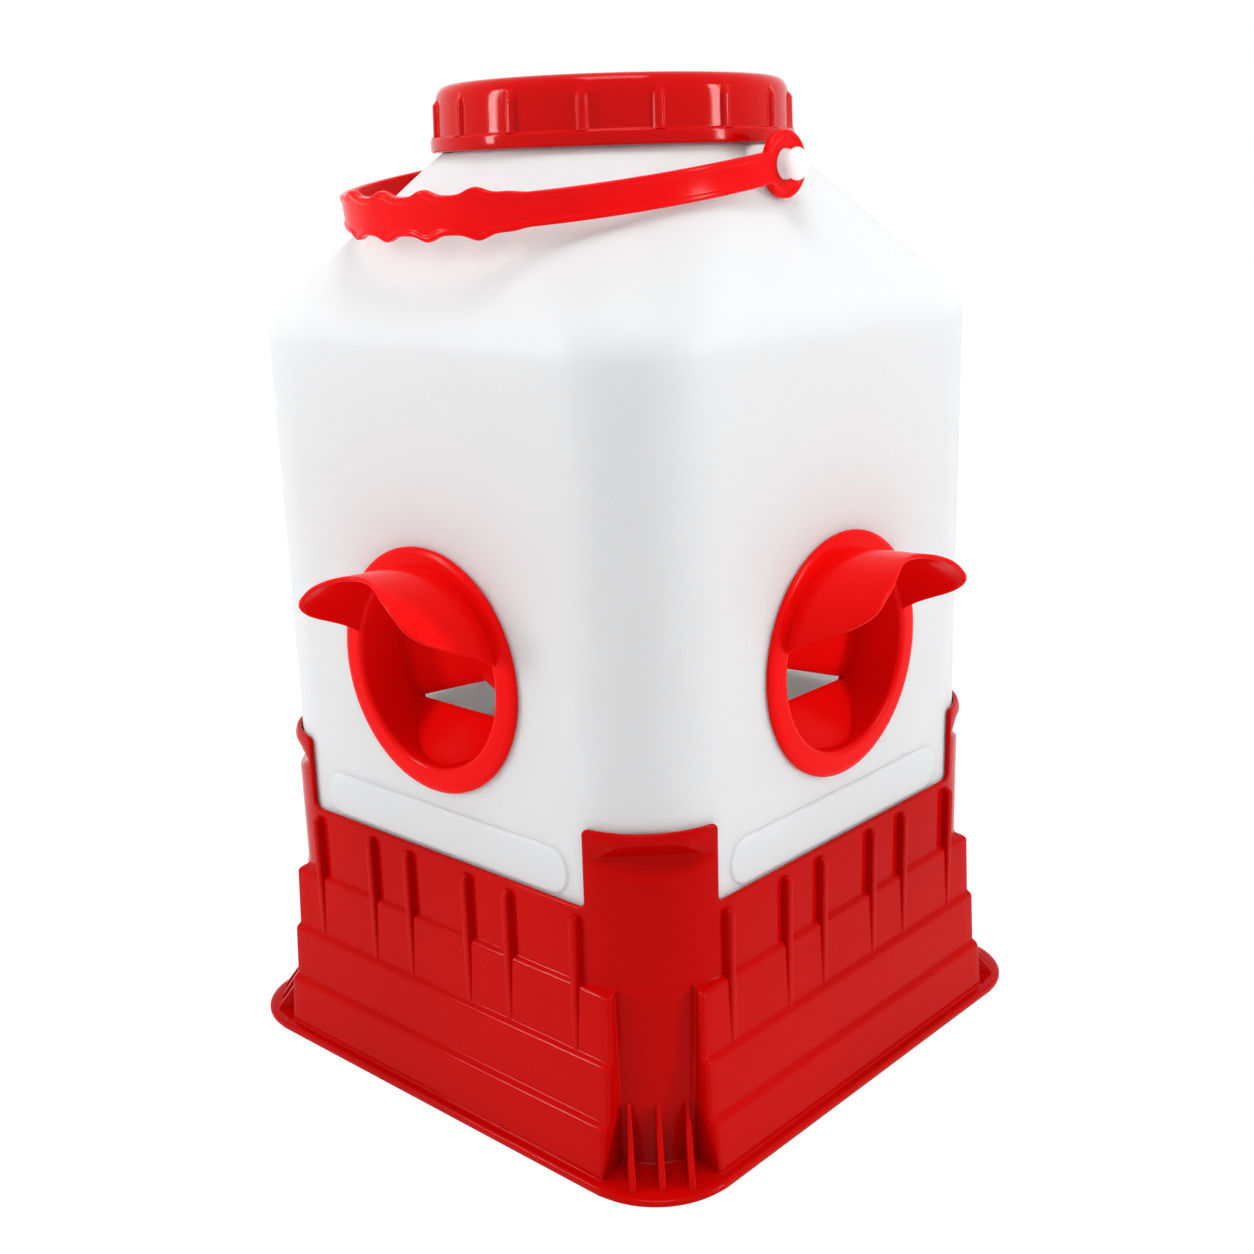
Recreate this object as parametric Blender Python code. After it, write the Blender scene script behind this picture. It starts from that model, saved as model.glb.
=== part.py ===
"""Poultry feeder: a square tank with a screw lid, a bail handle and four hooded ports, in a moulded stand.

Metres, +Z up, the stand's foot on z = 0 and the tank's axis on the Z axis.
"""

import math

import bmesh
import bpy
from mathutils import Matrix, Vector

# General
FIT_GAP = 0.0003
STAND_GAP = 0.0004
RED_WALL = 0.0025
CORNERS = 4

# Facets
ROUND_STEPS = 32
SQUARE_STEPS = 8
ARC_STEPS = 6
EDGE_STEPS = 2
SHOULDER_STEPS = 4
LUG_STEPS = 14
HOOD_STEPS = 18
HOOD_COLUMNS = 3
HANDLE_STEPS = 72

# Tank
TANK_HALF = 0.1270
TANK_CORNER = 0.0450
TANK_WALL = 0.0026
TANK_BOTTOM_EDGE = 0.0060
SHOULDER_Z = 0.3505
SHOULDER_ROUND = 0.0100
SHOULDER_WALL = 1.35 * TANK_WALL
COLLAR_R = 0.0780
COLLAR_Z = SHOULDER_Z + 0.0695
COLLAR_BAND = 0.0030
NECK_R = COLLAR_R - 0.0060
NECK_WALL = 0.0030
NECK_BORE = NECK_R - NECK_WALL
NECK_EDGE = 0.0008
NECK_TOP_Z = COLLAR_Z + 0.0226
ARC_START = TANK_HALF - TANK_CORNER

# Stand
CORE_HALF = TANK_HALF + STAND_GAP + RED_WALL
CORE_CORNER = TANK_CORNER + STAND_GAP + RED_WALL
FOOT_HALF = CORE_HALF + 0.0161
FOOT_CORNER = 0.0390
FOOT_THICK = 0.0040
FOOT_EDGE = 0.0012
FOOT_LEAD = 0.0060
POST_TOP_Z = 0.1540
POST_LEAD = 0.0005
WALL_TOP_Z = 0.1190
WINDOW_HALF = ARC_START + 0.0075
WINDOW_CORNER = 0.0030
LEDGE_RISE = 0.0018
CHANNEL_STEP = 0.0005
# Each panel: z of its top edge, then how far its foot and top stand out from the core,
# then how far its foot and top reach past the start of the corner's arc
PANELS = (
    (0.0266, 0.0116, 0.0096, 0.0235, 0.0225),
    (0.0530, 0.0067, 0.0056, 0.0215, 0.0205),
    (0.0836, 0.0031, 0.0021, 0.0190, 0.0145),
)
PANEL_EDGE = 0.0030
SEAT_HALF = TANK_HALF - 0.0140
SEAT_CORNER = SEAT_HALF - ARC_START
RIB_POS = (0.0195, 0.0455, 0.0855)
RIB_WIDTH = 0.0036
RIB_FRONT = CORE_HALF + 0.0035
RIB_SINK = 0.0013
RIB_EDGE = 0.0010
RIB_TOP_Z = WALL_TOP_Z - 0.0035
RIB_TOP_ROUND = 0.0030
GUSSET_PITCH = 0.0124
GUSSET_THICK = 0.0018
GUSSET_TOP_Z = 0.0390
GUSSET_TOP_OUT = 0.0022
GUSSET_REACH = (FOOT_HALF - FOOT_CORNER) * math.sqrt(2) + FOOT_CORNER - 0.0063
GROOVE_Z = POST_TOP_Z - 0.0118
GROOVE_DEPTH = 0.0052
GROOVE_UP = 0.0070
GROOVE_DOWN = 0.0055
GROOVE_ROUND = 0.0018
GROOVE_HALF = 0.0300
BEAD_HALF = 0.0270
BEAD_GAP = 0.0009

# Raised bars of the tank, above the stand's wall
PILL_HALF = 0.0795
PILL_R = 0.0108
PILL_Z = WALL_TOP_Z + 0.0112
PILL_PROUD = 0.0010

# Lid and gasket
GASKET_THICK = 0.0030
GASKET_WIDTH = 0.0087
LID_LIP_R = COLLAR_R + 0.0040
LID_R = COLLAR_R + 0.0015
LID_WALL = 0.0025
LID_TOP_Z = NECK_TOP_Z + FIT_GAP + GASKET_THICK + FIT_GAP + LID_WALL
LID_LIP_H = 0.0062
LID_LIP_EDGE = 0.0008
LID_TAPER = 0.0006
LID_EDGE = 0.0070
LID_CORNER = 0.0040
LID_RECESS = 0.0012
LID_RECESS_R = LID_R - 0.0155
LID_RECESS_SLOPE = 0.0015
LID_RIBS = 16
LID_RIB_W = 0.0048
LID_RIB_PROUD = 0.0017
LID_RIB_BOTTOM = COLLAR_Z + 0.0060
LID_RIB_TOP = COLLAR_Z + 0.0215

# Ports
PORT_TUBE_R = 0.0410
PORT_TUBE_WALL = 0.0020
PORT_FLANGE_R = PORT_TUBE_R + 0.0140
PORT_FLANGE_THICK = 0.0030
PORT_RIM = 0.0014
PORT_RIM_EDGE = 0.0006
PORT_WEB_DROP = 0.0004
PORT_CHAMFER = 0.0014
PORT_DEPTH = 0.0260
PORT_Z = PILL_Z + PILL_R + 0.0080 + PORT_FLANGE_R
# The hood's front edge: angle in degrees from the port's top, how far it stands out there
HOOD_EDGE = (
    (0.0, 0.0380), (14.0, 0.0382), (28.0, 0.0392), (38.0, 0.0412), (44.0, 0.0425), (48.0, 0.0410),
    (53.0, 0.0330), (59.0, 0.0220), (66.0, 0.0120), (73.0, 0.0035), (76.0, 0.0004),
)
HOOD_DROOP = 0.0030
TRAY_TOP = 0.0185 - PORT_TUBE_R
TRAY_DEPTH = 0.0240
TRAY_LIP = 0.0030
# The baffle's middle line from the tube's top backwards and down: (outwards, up)
BAFFLE_LINE = (
    (-0.0055, PORT_TUBE_R), (-0.0075, PORT_TUBE_R - 0.0040), (-0.0210, 0.0160), (-0.0290, -0.0231),
)
BAFFLE_LOW = -0.0050
ARCH_R = PORT_TUBE_R - 0.0048
RING_R = PORT_TUBE_R + 0.0090
RING_THICK = 0.0042
RING_NOTCHES = 8
RING_NOTCH = 0.0025

# Handle and the tank's lugs
PIVOT_Z = COLLAR_Z - 0.0090
JOURNAL_R = 0.0062
EYE_R = JOURNAL_R + 0.0076
EYE_THICK = 0.0036
EYE_CLEAR = 0.000325
# The eye's lowest point clears the shoulder's slope
SHOULDER_RUN = (TANK_HALF - COLLAR_R) / (COLLAR_Z - SHOULDER_Z)
EYE_X = COLLAR_R + (COLLAR_Z - PIVOT_Z + EYE_R) * SHOULDER_RUN + EYE_THICK / 2 + EYE_CLEAR
LUG_ROOT = 0.0060
LUG_ROOT_R = JOURNAL_R + 0.0023
LUG_SHANK_R = JOURNAL_R + 0.0016
LUG_TAPER = 0.0035
WAIST_R = JOURNAL_R - 0.0020
WAIST_STEP = 0.0008
HEAD_R = JOURNAL_R + 0.0005
HEAD_HALF = 0.0036
HEAD_X = EYE_X + 0.0068
HANDLE_REACH = 0.1260
HANDLE_FLARE = 0.0010
FLARE_RUN = 0.0150
HANDLE_DROP = math.radians(7.4)
HANDLE_POWER = 2.4
STRAP_WIDTH = 0.0132
STRAP_THICK = 0.0030
RIM_THICK = 0.0042
RIM_WIDTH = 0.0024
GRIP_BUMPS = (0.0125, 0.0375)
GRIP_BUMP = 0.0050
GRIP_BUMP_HALF = 0.0052
GRIP_VALLEY = 0.0154
GRIP_HALF = 0.0600
GRIP_BLEND = 0.0100

# Finishes: colour and roughness
RED = ((0.62, 0.004, 0.004), 0.22)
WHITE = ((0.86, 0.88, 0.90), 0.42)
GREY = ((0.30, 0.30, 0.31), 0.75)

X_AXIS, Y_AXIS, Z_AXIS = (1, 0, 0), (0, 1, 0), (0, 0, 1)
SIDES = ("front", "right", "back", "left")
FAR = 0.2


def material(name, colour, roughness):
    mat = bpy.data.materials.new(name)
    mat.use_nodes = True
    shader = mat.node_tree.nodes["Principled BSDF"]
    shader.inputs["Base Color"].default_value = (*colour, 1.0)
    shader.inputs["Roughness"].default_value = roughness
    shader.inputs["Metallic"].default_value = 0.0
    mat.diffuse_color = (*colour, 1.0)
    return mat


def new_object(name, bm, weld=2e-5):
    """A scene object from a bmesh, with its doubles welded and its faces turned outwards."""
    bmesh.ops.remove_doubles(bm, verts=bm.verts, dist=weld)
    bmesh.ops.dissolve_degenerate(bm, edges=bm.edges, dist=1e-6)
    bmesh.ops.recalc_face_normals(bm, faces=bm.faces)
    mesh = bpy.data.meshes.new(name)
    bm.to_mesh(mesh)
    bm.free()
    obj = bpy.data.objects.new(name, mesh)
    bpy.context.scene.collection.objects.link(obj)
    return obj


def add_loft(bm, rings, closed_loop=False):
    """Skin rings of equal length; the ends are capped unless the rings close on themselves."""
    verts = [[bm.verts.new(p) for p in ring] for ring in rings]
    pairs = list(zip(verts[:-1], verts[1:]))
    if closed_loop:
        pairs.append((verts[-1], verts[0]))
    count = len(rings[0])
    for low, high in pairs:
        for i in range(count):
            j = (i + 1) % count
            bm.faces.new((low[i], low[j], high[j], high[i]))
    if not closed_loop:
        bm.faces.new(list(reversed(verts[0])))
        bm.faces.new(verts[-1])


def loft(name, rings, closed_loop=False):
    bm = bmesh.new()
    add_loft(bm, rings, closed_loop)
    return new_object(name, bm)


def boolean(target, tool, operation):
    """Apply one Boolean of tool to target and delete the tool."""
    tool.hide_render = True
    tool.display_type = "WIRE"
    mod = target.modifiers.new("cut", "BOOLEAN")
    mod.operation = operation
    mod.solver = "EXACT"
    mod.object = tool
    depsgraph = bpy.context.evaluated_depsgraph_get()
    mesh = bpy.data.meshes.new_from_object(target.evaluated_get(depsgraph))
    old = target.data
    target.modifiers.remove(mod)
    target.data = mesh
    bpy.data.meshes.remove(old)
    bpy.data.objects.remove(tool)


def tidy(obj, dist=2e-6):
    bm = bmesh.new()
    bm.from_mesh(obj.data)
    bmesh.ops.remove_doubles(bm, verts=bm.verts, dist=dist)
    bmesh.ops.dissolve_degenerate(bm, edges=bm.edges, dist=1e-7)
    bm.to_mesh(obj.data)
    bm.free()


def finish(obj, mat, smooth_angle=32.0):
    """Give the piece its material and smooth shading that keeps its edges crisp."""
    tidy(obj)
    obj.data.materials.clear()
    obj.data.materials.append(mat)
    obj.data.shade_smooth()
    obj.data.set_sharp_from_angle(angle=math.radians(smooth_angle))
    return obj


def arc(cx, cy, radius, start, end, steps):
    """Points on a circle from start to end, both in degrees, both ends included."""
    out = []
    for i in range(steps + 1):
        a = math.radians(start + (end - start) * i / steps)
        out.append((cx + radius * math.cos(a), cy + radius * math.sin(a)))
    return out


def four_corners(corner, z):
    """Repeat the points of one corner about the Z axis."""
    ring = []
    for k in range(CORNERS):
        c, s = round(math.cos(k * math.pi / 2)), round(math.sin(k * math.pi / 2))
        ring += [(c * x - s * y, s * x + c * y, z) for x, y in corner]
    return ring


def rounded_square(half, radius, z, steps=SQUARE_STEPS):
    c = half - radius
    return four_corners(arc(c, -c, radius, -90, 0, steps), z)


def circle(cx, cy, radius, steps=ROUND_STEPS):
    return arc(cx, cy, radius, 0, 360 * (steps - 1) / steps, steps - 1)


def turned(profile):
    """Rings of a solid of revolution about Z from (radius, z) points."""
    return [[(x, y, z) for x, y in circle(0, 0, r)] for r, z in profile]


def prism(bm, outline, low, high, axes):
    """Extrude a 2-D outline between low and high along the third axis; axes are (u, v, along)."""
    u, v, along = (Vector(a) for a in axes)
    rings = []
    for d in (low, high):
        rings.append([u * a + v * b + along * d for a, b in outline])
    add_loft(bm, rings)


def diagonal_axes(k):
    """Radial, upward and sideways directions at corner k of the square."""
    a = -math.pi / 4 + k * math.pi / 2
    return (math.cos(a), math.sin(a), 0), Z_AXIS, (-math.sin(a), math.cos(a), 0)


def bars_object(name, outlines, low, high):
    """One object of prisms from (outline, axes) pairs, all between low and high."""
    bm = bmesh.new()
    for outline, axes in outlines:
        prism(bm, outline, low, high, axes)
    return new_object(name, bm, weld=1e-6)


# Stand
def stand_ring(z, half, end, inset=0.0, step=0.0):
    """Outline of the stand with a side panel of the given half width and half length.

    The corner channel keeps the core's round corner, made larger by step; inset moves the whole
    outline inwards.
    """
    core_r = CORE_CORNER + step - inset
    half -= inset
    end -= inset
    contact = ARC_START + math.sqrt(core_r ** 2 - (end - ARC_START) ** 2)
    r = max(min(PANEL_EDGE, (half - contact) / 2), 0.0)
    start = math.degrees(math.atan2(contact - ARC_START, end - ARC_START))
    corner = arc(end - r, -(half - r), r, -90, 0, EDGE_STEPS)
    corner += arc(ARC_START, -ARC_START, core_r, -start, -(90 - start), ARC_STEPS)
    corner += arc(half - r, -(end - r), r, -90, 0, EDGE_STEPS)
    return four_corners(corner, z)


def matched_ring(z, half, radius, lead):
    """A plain rounded square with as many points to a corner as stand_ring has.

    The points run at even steps over a stretch of the sides, lead long, and the corner's arc.
    """
    count = 2 * (EDGE_STEPS + 1) + ARC_STEPS + 1
    c = half - radius
    length = lead * 2 + radius * math.pi / 2
    corner = []
    for i in range(count):
        d = length * i / (count - 1)
        if d < lead:
            corner.append((c - lead + d, -half))
        elif d > length - lead:
            corner.append((half, -c + (d - length + lead)))
        else:
            a = -math.pi / 2 + (d - lead) / radius
            corner.append((c + radius * math.cos(a), -c + radius * math.sin(a)))
    return four_corners(corner, z)


def foot_rings():
    edges = ((0.0, FOOT_EDGE), (FOOT_EDGE, 0.0), (FOOT_THICK - FOOT_EDGE, 0.0), (FOOT_THICK, FOOT_EDGE))
    return [matched_ring(z, FOOT_HALF - e, FOOT_CORNER - e, FOOT_LEAD) for z, e in edges]


def seat_rings(top_z):
    return [matched_ring(z, SEAT_HALF, SEAT_CORNER, 0.0) for z in (top_z - RED_WALL, top_z)]


def stand_shell():
    """The stand's skin: up its outside over the foot and the stepped panels, and down its inside."""
    outer = foot_rings()
    inner = []
    foot_z, inner_foot = FOOT_THICK, 0.0
    seat_z = PANELS[0][0]
    for top_z, out_low, out_top, reach_low, reach_top in PANELS:
        low = (CORE_HALF + out_low, ARC_START + reach_low)
        high = (CORE_HALF + out_top, ARC_START + reach_top)
        for z, ring in ((foot_z, low), (top_z, high)):
            outer.append(stand_ring(z, *ring, 0.0, CHANNEL_STEP))
        for z, ring in ((inner_foot, low), (top_z - RED_WALL, high)):
            inner.append(stand_ring(z, *ring, RED_WALL, CHANNEL_STEP))
        foot_z = top_z + LEDGE_RISE
        inner_foot = foot_z - RED_WALL
        if top_z == seat_z:
            inner += seat_rings(seat_z)
            inner_foot = seat_z
    post_end = ARC_START + POST_LEAD
    outer += [stand_ring(z, CORE_HALF, post_end) for z in (foot_z, POST_TOP_Z)]
    inner += [stand_ring(z, CORE_HALF, post_end + RED_WALL, RED_WALL) for z in (inner_foot, POST_TOP_Z)]
    return loft("stand", outer + list(reversed(inner)), closed_loop=True)


def rib_section(back, front):
    """Outline of a rib seen from above, with bevelled front edges; y runs outwards as negative."""
    half, e = RIB_WIDTH / 2, RIB_EDGE
    return [
        (-half, -back), (-half, -(front - e)), (-half + e, -front),
        (half - e, -front), (half, -(front - e)), (half, -back),
    ]


def stand_ribs():
    """Upright ribs on the side panels; their backs stay inside the wall at every height."""
    upper_z = PANELS[2][0] + LEDGE_RISE
    panel_back = CORE_HALF + PANELS[2][1] - RIB_SINK
    wall_back = CORE_HALF - RIB_SINK
    levels = (
        (PANELS[1][0] - FIT_GAP, panel_back, RIB_FRONT),
        (upper_z - RED_WALL, panel_back - PANELS[2][1] + PANELS[2][2], RIB_FRONT),
        (upper_z + FIT_GAP, wall_back, RIB_FRONT),
        (RIB_TOP_Z - RIB_TOP_ROUND, wall_back, RIB_FRONT),
        (RIB_TOP_Z, wall_back, RIB_FRONT - RIB_TOP_ROUND),
    )
    bm = bmesh.new()
    for k in range(CORNERS):
        turn = Matrix.Rotation(k * math.pi / 2, 4, "Z")
        for pos in [s * p for p in RIB_POS for s in (-1, 1)]:
            rings = []
            for z, back, front in levels:
                rings.append([turn @ Vector((pos + x, y, z)) for x, y in rib_section(back, front)])
            add_loft(bm, rings)
    return new_object("stand_ribs", bm, weld=1e-6)


def stand_gussets():
    """Three thin webs in each corner channel, widening onto the foot."""
    bm = bmesh.new()
    centre = ARC_START * math.sqrt(2)
    low = FOOT_THICK / 2
    for k in range(CORNERS):
        for step in (-1, 0, 1):
            offset = step * GUSSET_PITCH
            face = centre + math.sqrt(CORE_CORNER ** 2 - offset ** 2)
            back = face - RED_WALL / 2
            outline = [
                (back, low), (GUSSET_REACH, low), (GUSSET_REACH, FOOT_THICK + FOOT_EDGE),
                (face + GUSSET_TOP_OUT / 2, GUSSET_TOP_Z), (back, GUSSET_TOP_Z),
            ]
            edge = offset - GUSSET_THICK / 2
            prism(bm, outline, edge, edge + GUSSET_THICK, diagonal_axes(k))
    return new_object("stand_gussets", bm, weld=1e-6)


def groove_outline(offset=0.0):
    """Section of the snap groove in (radial, z); offset thickens it for the bead behind."""
    face = ARC_START * math.sqrt(2) + CORE_CORNER
    out = face + PANEL_EDGE
    low, high = GROOVE_Z - GROOVE_DOWN - offset, GROOVE_Z + GROOVE_UP + offset
    r = GROOVE_ROUND + offset
    bottom = arc(face - GROOVE_DEPTH + GROOVE_ROUND, GROOVE_Z, r, 225, 135, 3)
    return [(out, low), (face, low)] + bottom + [(face, high), (out, high)]


def stand_grooves():
    """Straight bars across the four corners that cut the snap grooves."""
    bars = [(groove_outline(), diagonal_axes(k)) for k in range(CORNERS)]
    return bars_object("grooves", bars, -GROOVE_HALF, GROOVE_HALF)


def stand_beads():
    """The wall behind each snap groove, trimmed to stay inside the post's outer face."""
    bars = [(groove_outline(RED_WALL), diagonal_axes(k)) for k in range(CORNERS)]
    beads = bars_object("beads", bars, -BEAD_HALF, BEAD_HALF)
    skin = RED_WALL / 2
    half, corner = CORE_HALF - skin, CORE_CORNER - skin
    limit = [rounded_square(half, corner, z) for z in (WALL_TOP_Z, POST_TOP_Z + FOOT_HALF)]
    boolean(beads, loft("bead_limit", limit), "INTERSECT")
    return beads


def stand_windows():
    """Cutters that lower the side walls between the corner posts."""
    w, r, low, high = WINDOW_HALF, WINDOW_CORNER, WALL_TOP_Z, POST_TOP_Z + PANEL_EDGE
    outline = arc(-w + r, low + r, r, 180, 270, 4) + arc(w - r, low + r, r, 270, 360, 4)
    outline += [(w, high), (-w, high)]
    return [
        bars_object("window_y", [(outline, (X_AXIS, Z_AXIS, Y_AXIS))], -FAR, FAR),
        bars_object("window_x", [(outline, (Y_AXIS, Z_AXIS, X_AXIS))], -FAR, FAR),
    ]


def build_stand(mat):
    stand = stand_shell()
    for cutter in stand_windows():
        boolean(stand, cutter, "DIFFERENCE")
    for addition in (stand_ribs(), stand_gussets(), stand_beads()):
        boolean(stand, addition, "UNION")
    boolean(stand, stand_grooves(), "DIFFERENCE")
    return finish(stand, mat)


# Tank
def tank_levels(inside):
    """(z, half width, corner radius) of the tank's outer or inner skin, bottom to collar."""
    bottom = PANELS[0][0] + FIT_GAP
    rise = COLLAR_Z - SHOULDER_Z
    slope = (COLLAR_R - TANK_HALF) / rise
    corner_slope = (COLLAR_R - TANK_CORNER) / rise
    wall, top_wall = (TANK_WALL, SHOULDER_WALL) if inside else (0.0, 0.0)
    edge = TANK_BOTTOM_EDGE - wall
    levels = []
    for a in (0, 30, 60, 90):
        shrink = wall + edge * (1 - math.sin(math.radians(a)))
        z = bottom + wall + edge * (1 - math.cos(math.radians(a)))
        levels.append((z, TANK_HALF - shrink, TANK_CORNER - shrink))
    for i in range(SHOULDER_STEPS + 1):
        t = i / SHOULDER_STEPS
        z = SHOULDER_Z + SHOULDER_ROUND * (2 * t - 1)
        bend = SHOULDER_ROUND * t * t
        side = wall + (top_wall - wall) * t
        levels.append((z, TANK_HALF + slope * bend - side, TANK_CORNER + corner_slope * bend - side))
    run = rise - COLLAR_BAND
    half, corner = TANK_HALF + slope * run - top_wall, TANK_CORNER + corner_slope * run - top_wall
    levels.append((COLLAR_Z - COLLAR_BAND, half, corner))
    return levels


def corner_flats(depth, top_z):
    """Wedges that flatten the tank's corners where the posts' beads snap over them."""
    face = ARC_START * math.sqrt(2) + TANK_CORNER
    out = face + CORE_HALF - TANK_HALF
    outline = [(face - depth, 0.0), (face - depth, top_z - depth), (face, top_z), (out, top_z), (out, 0.0)]
    wedges = [(outline, diagonal_axes(k)) for k in range(CORNERS)]
    return bars_object("flats", wedges, -GROOVE_HALF - FOOT_THICK, GROOVE_HALF + FOOT_THICK)


def tank_skin(name, inside):
    """Solid of the tank's outside, or of its hollow, with the flats where the beads snap."""
    rings = [rounded_square(half, r, z) for z, half, r in tank_levels(inside)]
    if inside:
        mouth = ((NECK_BORE, COLLAR_Z - COLLAR_BAND / 2), (NECK_BORE, COLLAR_Z + NECK_WALL))
    else:
        mouth = ((COLLAR_R, COLLAR_Z),)
    rings += [rounded_square(r, r, z) for r, z in mouth]
    skin = loft(name, rings)
    depth = GROOVE_DEPTH + RED_WALL - (CORE_HALF - TANK_HALF) + BEAD_GAP + (TANK_WALL if inside else 0.0)
    top_z = POST_TOP_Z - FIT_GAP + (TANK_WALL * math.sqrt(2) if inside else 0.0)
    boolean(skin, corner_flats(depth, top_z), "DIFFERENCE")
    return skin


def lug_profile():
    """(distance along the lug's axis, radius) of a handle lug, from inside the shoulder outwards."""
    eye_in, eye_out = EYE_X - EYE_THICK / 2, EYE_X + EYE_THICK / 2 + FIT_GAP
    shank = [
        (COLLAR_R - LUG_ROOT, LUG_ROOT_R), (eye_in - LUG_TAPER, LUG_SHANK_R),
        (eye_in - FIT_GAP, JOURNAL_R), (eye_out, JOURNAL_R), (eye_out + WAIST_STEP, WAIST_R),
    ]
    neck = 180 - math.degrees(math.asin(WAIST_R / HEAD_R))
    head = [(HEAD_X + HEAD_HALF * c, HEAD_R * s) for c, s in arc(0.0, 0.0, 1.0, neck, 12, 6)]
    return shank + head


def tank_lugs():
    bm = bmesh.new()
    for side in (-1, 1):
        rings = []
        for d, r in lug_profile():
            rings.append([(side * d, y, z) for y, z in circle(0, PIVOT_Z, r, LUG_STEPS)])
        add_loft(bm, rings)
    return new_object("lugs", bm, weld=1e-6)


def tank_pills():
    """Raised bars on the four faces, just above the stand's wall."""
    flat = PILL_HALF - PILL_R
    outline = arc(flat, PILL_Z, PILL_R, -90, 90, 6) + arc(-flat, PILL_Z, PILL_R, 90, 270, 6)
    pills = []
    for k in range(CORNERS):
        turn = Matrix.Rotation(k * math.pi / 2, 3, "Z")
        pills.append((outline, (turn @ Vector(X_AXIS), Z_AXIS, turn @ Vector(Y_AXIS))))
    return bars_object("pills", pills, -(TANK_HALF + PILL_PROUD), -(TANK_HALF - TANK_WALL / 2))


def port_bores():
    outline = circle(0, PORT_Z, PORT_TUBE_R + FIT_GAP)
    return [
        bars_object("bore_y", [(outline, (X_AXIS, Z_AXIS, Y_AXIS))], -FAR, FAR),
        bars_object("bore_x", [(outline, (Y_AXIS, Z_AXIS, X_AXIS))], -FAR, FAR),
    ]


def build_tank(mat):
    tank = tank_skin("tank", False)
    boolean(tank, tank_lugs(), "UNION")
    boolean(tank, tank_pills(), "UNION")
    boolean(tank, tank_skin("hollow", True), "DIFFERENCE")
    for cutter in port_bores():
        boolean(tank, cutter, "DIFFERENCE")
    return finish(tank, mat)


def build_neck(mat):
    """The tank's neck above its collar, a ring of its own that the lid screws over."""
    low = COLLAR_Z + FIT_GAP
    profile = [
        (NECK_BORE, low), (NECK_R, low), (NECK_R, NECK_TOP_Z - NECK_EDGE),
        (NECK_R - NECK_EDGE, NECK_TOP_Z), (NECK_BORE, NECK_TOP_Z),
    ]
    return finish(loft("tank_neck", turned(profile), closed_loop=True), mat)


# Lid and gasket
def lid_profile():
    """(radius, z) points of the lid's section, up its outside, over its top and down its inside."""
    bottom = COLLAR_Z + FIT_GAP
    lip_top = bottom + LID_LIP_H
    bore = LID_R - LID_WALL
    body_top_r = LID_R - LID_TAPER
    under = LID_TOP_Z - LID_WALL
    outside = [
        (bore, bottom), (LID_LIP_R - LID_LIP_EDGE, bottom), (LID_LIP_R, bottom + LID_LIP_EDGE),
        (LID_LIP_R, lip_top - LID_LIP_EDGE), (LID_LIP_R - LID_LIP_EDGE, lip_top), (LID_R, lip_top),
    ]
    outside += arc(body_top_r - LID_EDGE, LID_TOP_Z - LID_EDGE, LID_EDGE, 0, 90, 4)
    recess = [
        (LID_RECESS_R + LID_RECESS_SLOPE, LID_TOP_Z), (LID_RECESS_R, LID_TOP_Z - LID_RECESS),
        (0.0, LID_TOP_Z - LID_RECESS), (0.0, under - LID_RECESS),
        (LID_RECESS_R - LID_CORNER, under - LID_RECESS), (LID_RECESS_R - LID_CORNER / 2, under),
    ]
    return outside + recess + [(bore - LID_CORNER, under), (bore, under - LID_CORNER)]


def lid_ribs():
    w = LID_RIB_W / 2
    outline = arc(0, LID_RIB_TOP - w, w, 0, 180, 4) + [(-w, LID_RIB_BOTTOM), (w, LID_RIB_BOTTOM)]
    ribs = []
    for k in range(LID_RIBS):
        a = 2 * math.pi * (k + 0.5) / LID_RIBS
        ribs.append((outline, ((-math.sin(a), math.cos(a), 0), Z_AXIS, (math.cos(a), math.sin(a), 0))))
    return bars_object("lid_ribs", ribs, LID_R - LID_WALL / 2, LID_R + LID_RIB_PROUD)


def build_lid(mat):
    lid = loft("lid", turned(lid_profile()), closed_loop=True)
    boolean(lid, lid_ribs(), "UNION")
    return finish(lid, mat)


def build_gasket(mat):
    low, high = NECK_TOP_Z + FIT_GAP, NECK_TOP_Z + FIT_GAP + GASKET_THICK
    out_r = LID_R - LID_WALL - LID_CORNER - FIT_GAP
    in_r = out_r - GASKET_WIDTH
    profile = [(in_r, low), (out_r, low), (out_r, high), (in_r, high)]
    return finish(loft("lid_gasket", turned(profile), closed_loop=True), mat)


# Ports, built about their own axis: x sideways, y outwards from the tank's face, z up
def port_turned(name, profile):
    """A ring turned about the port's axis from (radius, outwards) points."""
    return loft(name, [[(x, y, z) for x, z in circle(0, 0, r)] for r, y in profile], closed_loop=True)


def hood_reach(angle):
    """How far the hood stands out at an angle in degrees from its top."""
    for (a0, reach0), (a1, reach1) in zip(HOOD_EDGE[:-1], HOOD_EDGE[1:]):
        if abs(angle) <= a1:
            return reach0 + (reach1 - reach0) * (abs(angle) - a0) / (a1 - a0)
    return HOOD_EDGE[-1][1]


def hood_line(radius, angle):
    """Points of the hood at one angle from the flange to the front edge, which droops a little."""
    a = math.radians(angle)
    root = PORT_FLANGE_THICK / 2
    reach = max(hood_reach(angle), root)
    line = []
    for j in range(HOOD_COLUMNS):
        y = root + (reach - root) * j / (HOOD_COLUMNS - 1)
        droop = HOOD_DROOP * (y / HOOD_EDGE[0][1]) ** 2
        line.append((radius * math.sin(a), y, radius * math.cos(a) - droop))
    return line


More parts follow.
